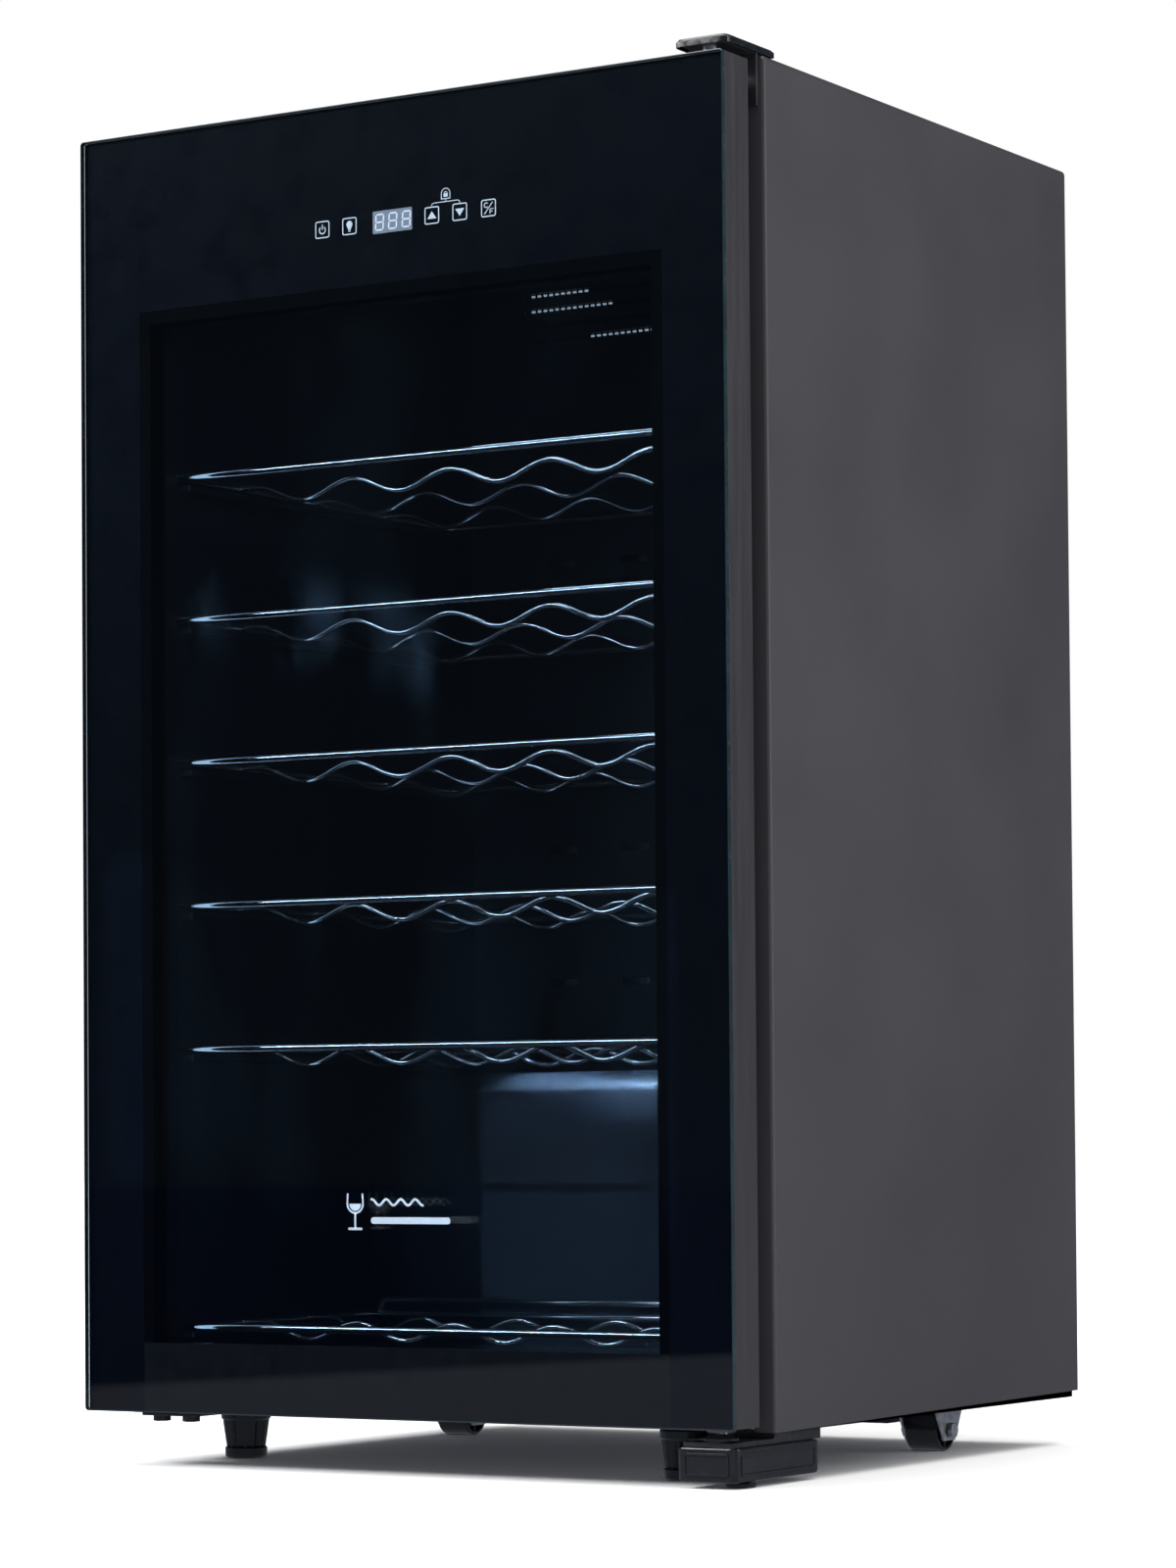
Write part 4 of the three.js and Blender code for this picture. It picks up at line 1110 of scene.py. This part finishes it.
def compressor():
    """Welded pot with a seam collar, terminal box and the plate it stands on."""
    pot = Box("compressor")
    centre = Vector((pot.x, pot.y, pot.z0 - 7.8 * MM))
    outline = [(0, 10.4), (44, 10.4), (49.5, 12.4), (53.6, 16), (55.6, 20), (56, 24), (56, 76.6),
               (56.6, 77.8), (58.4, 78), (59, 78.8), (59, 82.2), (58.4, 83), (56.6, 83.2), (56, 84.4),
               (56, 117), (55.2, 124), (52.6, 131), (47.6, 137.6), (40, 143), (30, 147.4), (18, 150),
               (0, 151)]
    bm = bmesh.new()
    skin(bm, lathe_loops([(r * MM, h * MM) for r, h in outline], 96))
    add_box(bm, -62 * MM, 62 * MM, -62 * MM, 62 * MM, 7.8 * MM, 10.6 * MM, 0.9 * MM, 2)
    add_box(bm, -62 * MM, -51 * MM, -16 * MM, 16 * MM, 44 * MM, 72 * MM, 2 * MM, 3)
    place(bm, centre)
    stand_for(from_bmesh("compressor_pot", bm, 35), "enamel", "compressor")
    plug = [(0, 1.8), (6.3, 1.8), (7, 2.4), (7, 4.1), (6.3, 4.6), (7, 5.1), (7, 6.9), (6.4, 7.5),
            (4, 7.5), (4, 10.9), (5.7, 10.9), (6, 11.4), (5, 13.5), (4.4, 14), (0, 14)]
    for k in range(1, 5):
        spot = Box(f"compressor_grommet_{k}")
        turned(f"compressor_grommet_{k}", plug, (spot.x, spot.y, spot.z0 - 1.8 * MM), "rubber", sides=40)


def condenser():
    """One tube folded back and forth with round bends, held by wire combs."""
    near, far, rise, rows = -62, -215, 18, 8
    path = []
    for i in range(rows):
        z = 18 + i * rise
        start, end = (near, far) if i % 2 else (far, near)
        path += [(start, z), (end, z)]
        if i < rows - 1:
            out = 1 if end > start else -1
            path += [(end + out * 8.6 * math.cos(math.radians(a)), z + rise / 2 + rise / 2 * math.sin(
                math.radians(a))) for a in range(-75, 76, 15)]
    bm = bmesh.new()
    add_tube(bm, [at(x, 425, z) for x, z in path], 3 * MM, 16)
    for x in (-190, -165, -140, -115, -90):
        low, high = at(x - 1.2, 420.5, 6), at(x + 1.2, 429.5, 150)
        add_box(bm, low.x, high.x, low.y, high.y, low.z, high.z, 0.5 * MM, 2)
    stand_for(from_bmesh("condenser_folded", bm, 40), "enamel", "condenser_coil")


def fan(node, centre, axis, radius, hub, thick, blades):
    """A domed hub with cambered blades, pitched and rounded at their tips."""
    bm = bmesh.new()
    t = thick / 2
    dome = [(0, -t), (hub - 0.8, -t), (hub, -t + 0.8), (hub, t - 2.4), (hub - 0.7, t - 0.8),
            (hub - 2.4, t), (0, t)]
    skin(bm, lathe_loops([(r * MM, h * MM) for r, h in dome], 48))
    pitch = math.radians(22)
    spots = [-1, -0.92, -0.7, -0.35, 0, 0.35, 0.7, 0.92, 1]
    for k in range(blades):
        loops = []
        for i in range(13):
            share = i / 12
            r = hub - 1 + (radius - hub + 1) * share
            tip = max(0, (share - 0.7) / 0.3)
            half = radius * 0.2 * (0.85 + 0.35 * share) * math.sqrt(1 - 0.8 * tip ** 2)
            loop = []
            for side in (1, -1):
                for u in spots if side == 1 else spots[::-1][1:-1]:
                    turn = 2 * math.pi * k / blades + u * half * math.cos(pitch) / r
                    h = u * half * math.sin(pitch) + 1.1 * (1 - u * u)
                    h += side * 0.7 * math.sqrt(1 - u * u)
                    loop.append((r * math.cos(turn) * MM, r * math.sin(turn) * MM, h * MM))
            loops.append(loop)
        skin(bm, loops, caps=True)
    place(bm, centre, axis)
    stand_for(from_bmesh(node + "_moulded", bm, 40), "grey_plastic", node)


def evaporator_fins():
    """Fins that stand behind the louvres, in matt black as painted shade, and short glowing strips on them
    that are a painted glint of the cabinet lamp.
    """
    fins, painted_glints = bmesh.new(), bmesh.new()
    for k in range(-29, 30):
        x = k * 5
        low, high = at(x - 1.2, 401, 747), at(x + 1.2, 409, 790)
        add_box(fins, low.x, high.x, low.y, high.y, low.z, high.z)
        for start, end, z in ((-148, -96, 785.7), (-148, -76, 774.7), (-98, -38, 752.6)):
            if start < x < end:
                low, high = at(x - 1.3, 400.3, z - 0.7), at(x + 1.3, 401.2, z + 0.7)
                add_box(painted_glints, low.x, high.x, low.y, high.y, low.z, high.z)
    # The fins take the matt black of the glazing spacer: painted shade behind the louvres, where the real
    # fins are aluminium.
    trim(from_bmesh("evaporator_fins", fins), "spacer", "cabinet")
    # Glowing strips: a painted glint of the lamp on the fin edges.
    trim(from_bmesh("painted_fin_glints", painted_glints), "painted_glint", "cabinet")


def machine_bay():
    compressor()
    evaporator_fins()
    condenser()
    fan("circulation_fan_rotor", at(0, 406, 690), "Y", 36, 12, 9, 7)
    fan("condenser_fan_rotor", at(-35, 393, 68), "X", 43, 13, 18, 5)
    drier = [(0, 40), (2.5, 40), (2.5, 47.4), (3.2, 49), (7.6, 53.2), (8.7, 55.4), (9, 58), (9, 110),
             (8.7, 112.6), (7.6, 114.8), (3.2, 119), (2.5, 120.6), (2.5, 128), (0, 128)]
    turned("filter_drier", drier, at(20, 345, 0), "copper", sides=40)
    pipe("discharge_tube", [(61.4, 375, 100), (50, 373, 100), (44, 373, 106), (44, 378, 140),
                            (38, 385, 146), (-46, 398, 146), (-56, 408, 148), (-62, 420, 153)], 2.5,
         "copper")
    pipe("suction_tube", [(118, 333.8, 104), (118, 330.6, 105), (118, 328.5, 110), (118, 328.5, 189)],
         3, "copper")
    bush = [(4, -7.4), (4.6, -8), (9.8, -8), (10.5, -7.3), (10.5, -0.3), (8, -0.3), (8, 1.5), (11, 1.5),
            (11, 2.6), (10.2, 4.2), (8.5, 9.4), (7.6, 10.2), (4.6, 10.2), (4, 9.6)]
    turned("cord_inlet_bush", bush, at(-205, 455, 26), "rubber", "Y", 48)


# ---- everything whose CAD shape only needs its edges eased ----
EASED = {
    "back_panel": (0.4, "cabinet"), "base_plate": (0.4, "dark_steel"),
    "machine_bay_panel": (0.4, "zinc"), "duct_panel": (0.7, "liner"),
    "evaporator_plate": (0.8, "aluminium"), "lamp_housing": (1.2, "black_plastic"),
    "lamp_lens": (1.0, "lens"), "circulation_fan_motor": (0.8, "black_plastic"),
    "compressor_base": (0.5, "dark_steel"), "start_relay_box": (1.5, "black_plastic"),
    "evaporating_tray": (0.7, "grey_plastic"), "condenser_fan_shroud": (0.7, "black_plastic"),
    "rear_cover": (0.4, "zinc"), "control_board": (0.3, "board"),
    "display_module": (0.5, "grey_plastic"), "insulation": (1.0, "foam"),
}


def eased():
    for node, (bevel, look_name) in EASED.items():
        stand_for(refined(node, bevel * MM, 2), look_name, node)


cabinet_shell()
liner()
shelves()
door()
hinges()
running_gear()
machine_bay()
eased()


# ---- the studio ----
def sheet(name, corners, material):
    bm = bmesh.new()
    bm.faces.new([bm.verts.new(c) for c in corners])
    piece = from_bmesh(name, bm)
    piece.data.materials.append(material)
    return piece


def dim_card():
    """A dim card that only reflections see, paler near the cooler along a slanting edge."""
    look_ = Look("dim_card", (0, 0, 0), 1.0)
    look_.tree.nodes.remove(look_.shader)
    glow = look_.node("Emission", Strength=1.0)
    split = look_.node("SeparateXYZ")
    look_.link(look_.coordinates(), split.inputs[0])
    slant = look_.node("Math", operation="MULTIPLY_ADD")
    slant.inputs[1].default_value = 3.0
    look_.link(split.outputs["X"], slant.inputs[0])
    look_.link(split.outputs["Y"], slant.inputs[2])
    ramp = look_.node("ValToRGB")
    ramp.color_ramp.elements[0].position = 0.0
    ramp.color_ramp.elements[0].color = (0.012, 0.02, 0.045, 1)
    ramp.color_ramp.elements[1].position = 1.0
    ramp.color_ramp.elements[1].color = (0.2, 0.21, 0.25, 1)
    near = look_.node("MapRange")
    for socket, value in zip(("From Min", "From Max", "To Min", "To Max"), (-3.55, -3.2, 0, 1)):
        near.inputs[socket].default_value = value
    look_.link(slant.outputs[0], near.inputs["Value"])
    look_.link(near.outputs["Result"], ramp.inputs["Fac"])
    look_.link(ramp.outputs["Color"], glow.inputs["Color"])
    look_.link(glow.outputs[0], look_.tree.nodes["Material Output"].inputs["Surface"])
    return look_.material


def studio():
    floor_look = Look("pale_floor", (0.9, 0.9, 0.9), 0.7)
    floor_look.tone(floor_look.noise(1.5, 2), 0.99, 1.0)
    far = 12.0
    sheet("floor", [(-far, -far, 0), (far, -far, 0), (far, far, 0), (-far, far, 0)],
          floor_look.material)
    lift = 0.0005
    card = sheet("dim_card", [(-far, -far, lift), (far, -far, lift), (far, far, lift), (-far, far, lift)],
                 dim_card())
    for kind in ("camera", "diffuse", "transmission", "shadow"):
        setattr(card, "visible_" + kind, False)


studio()
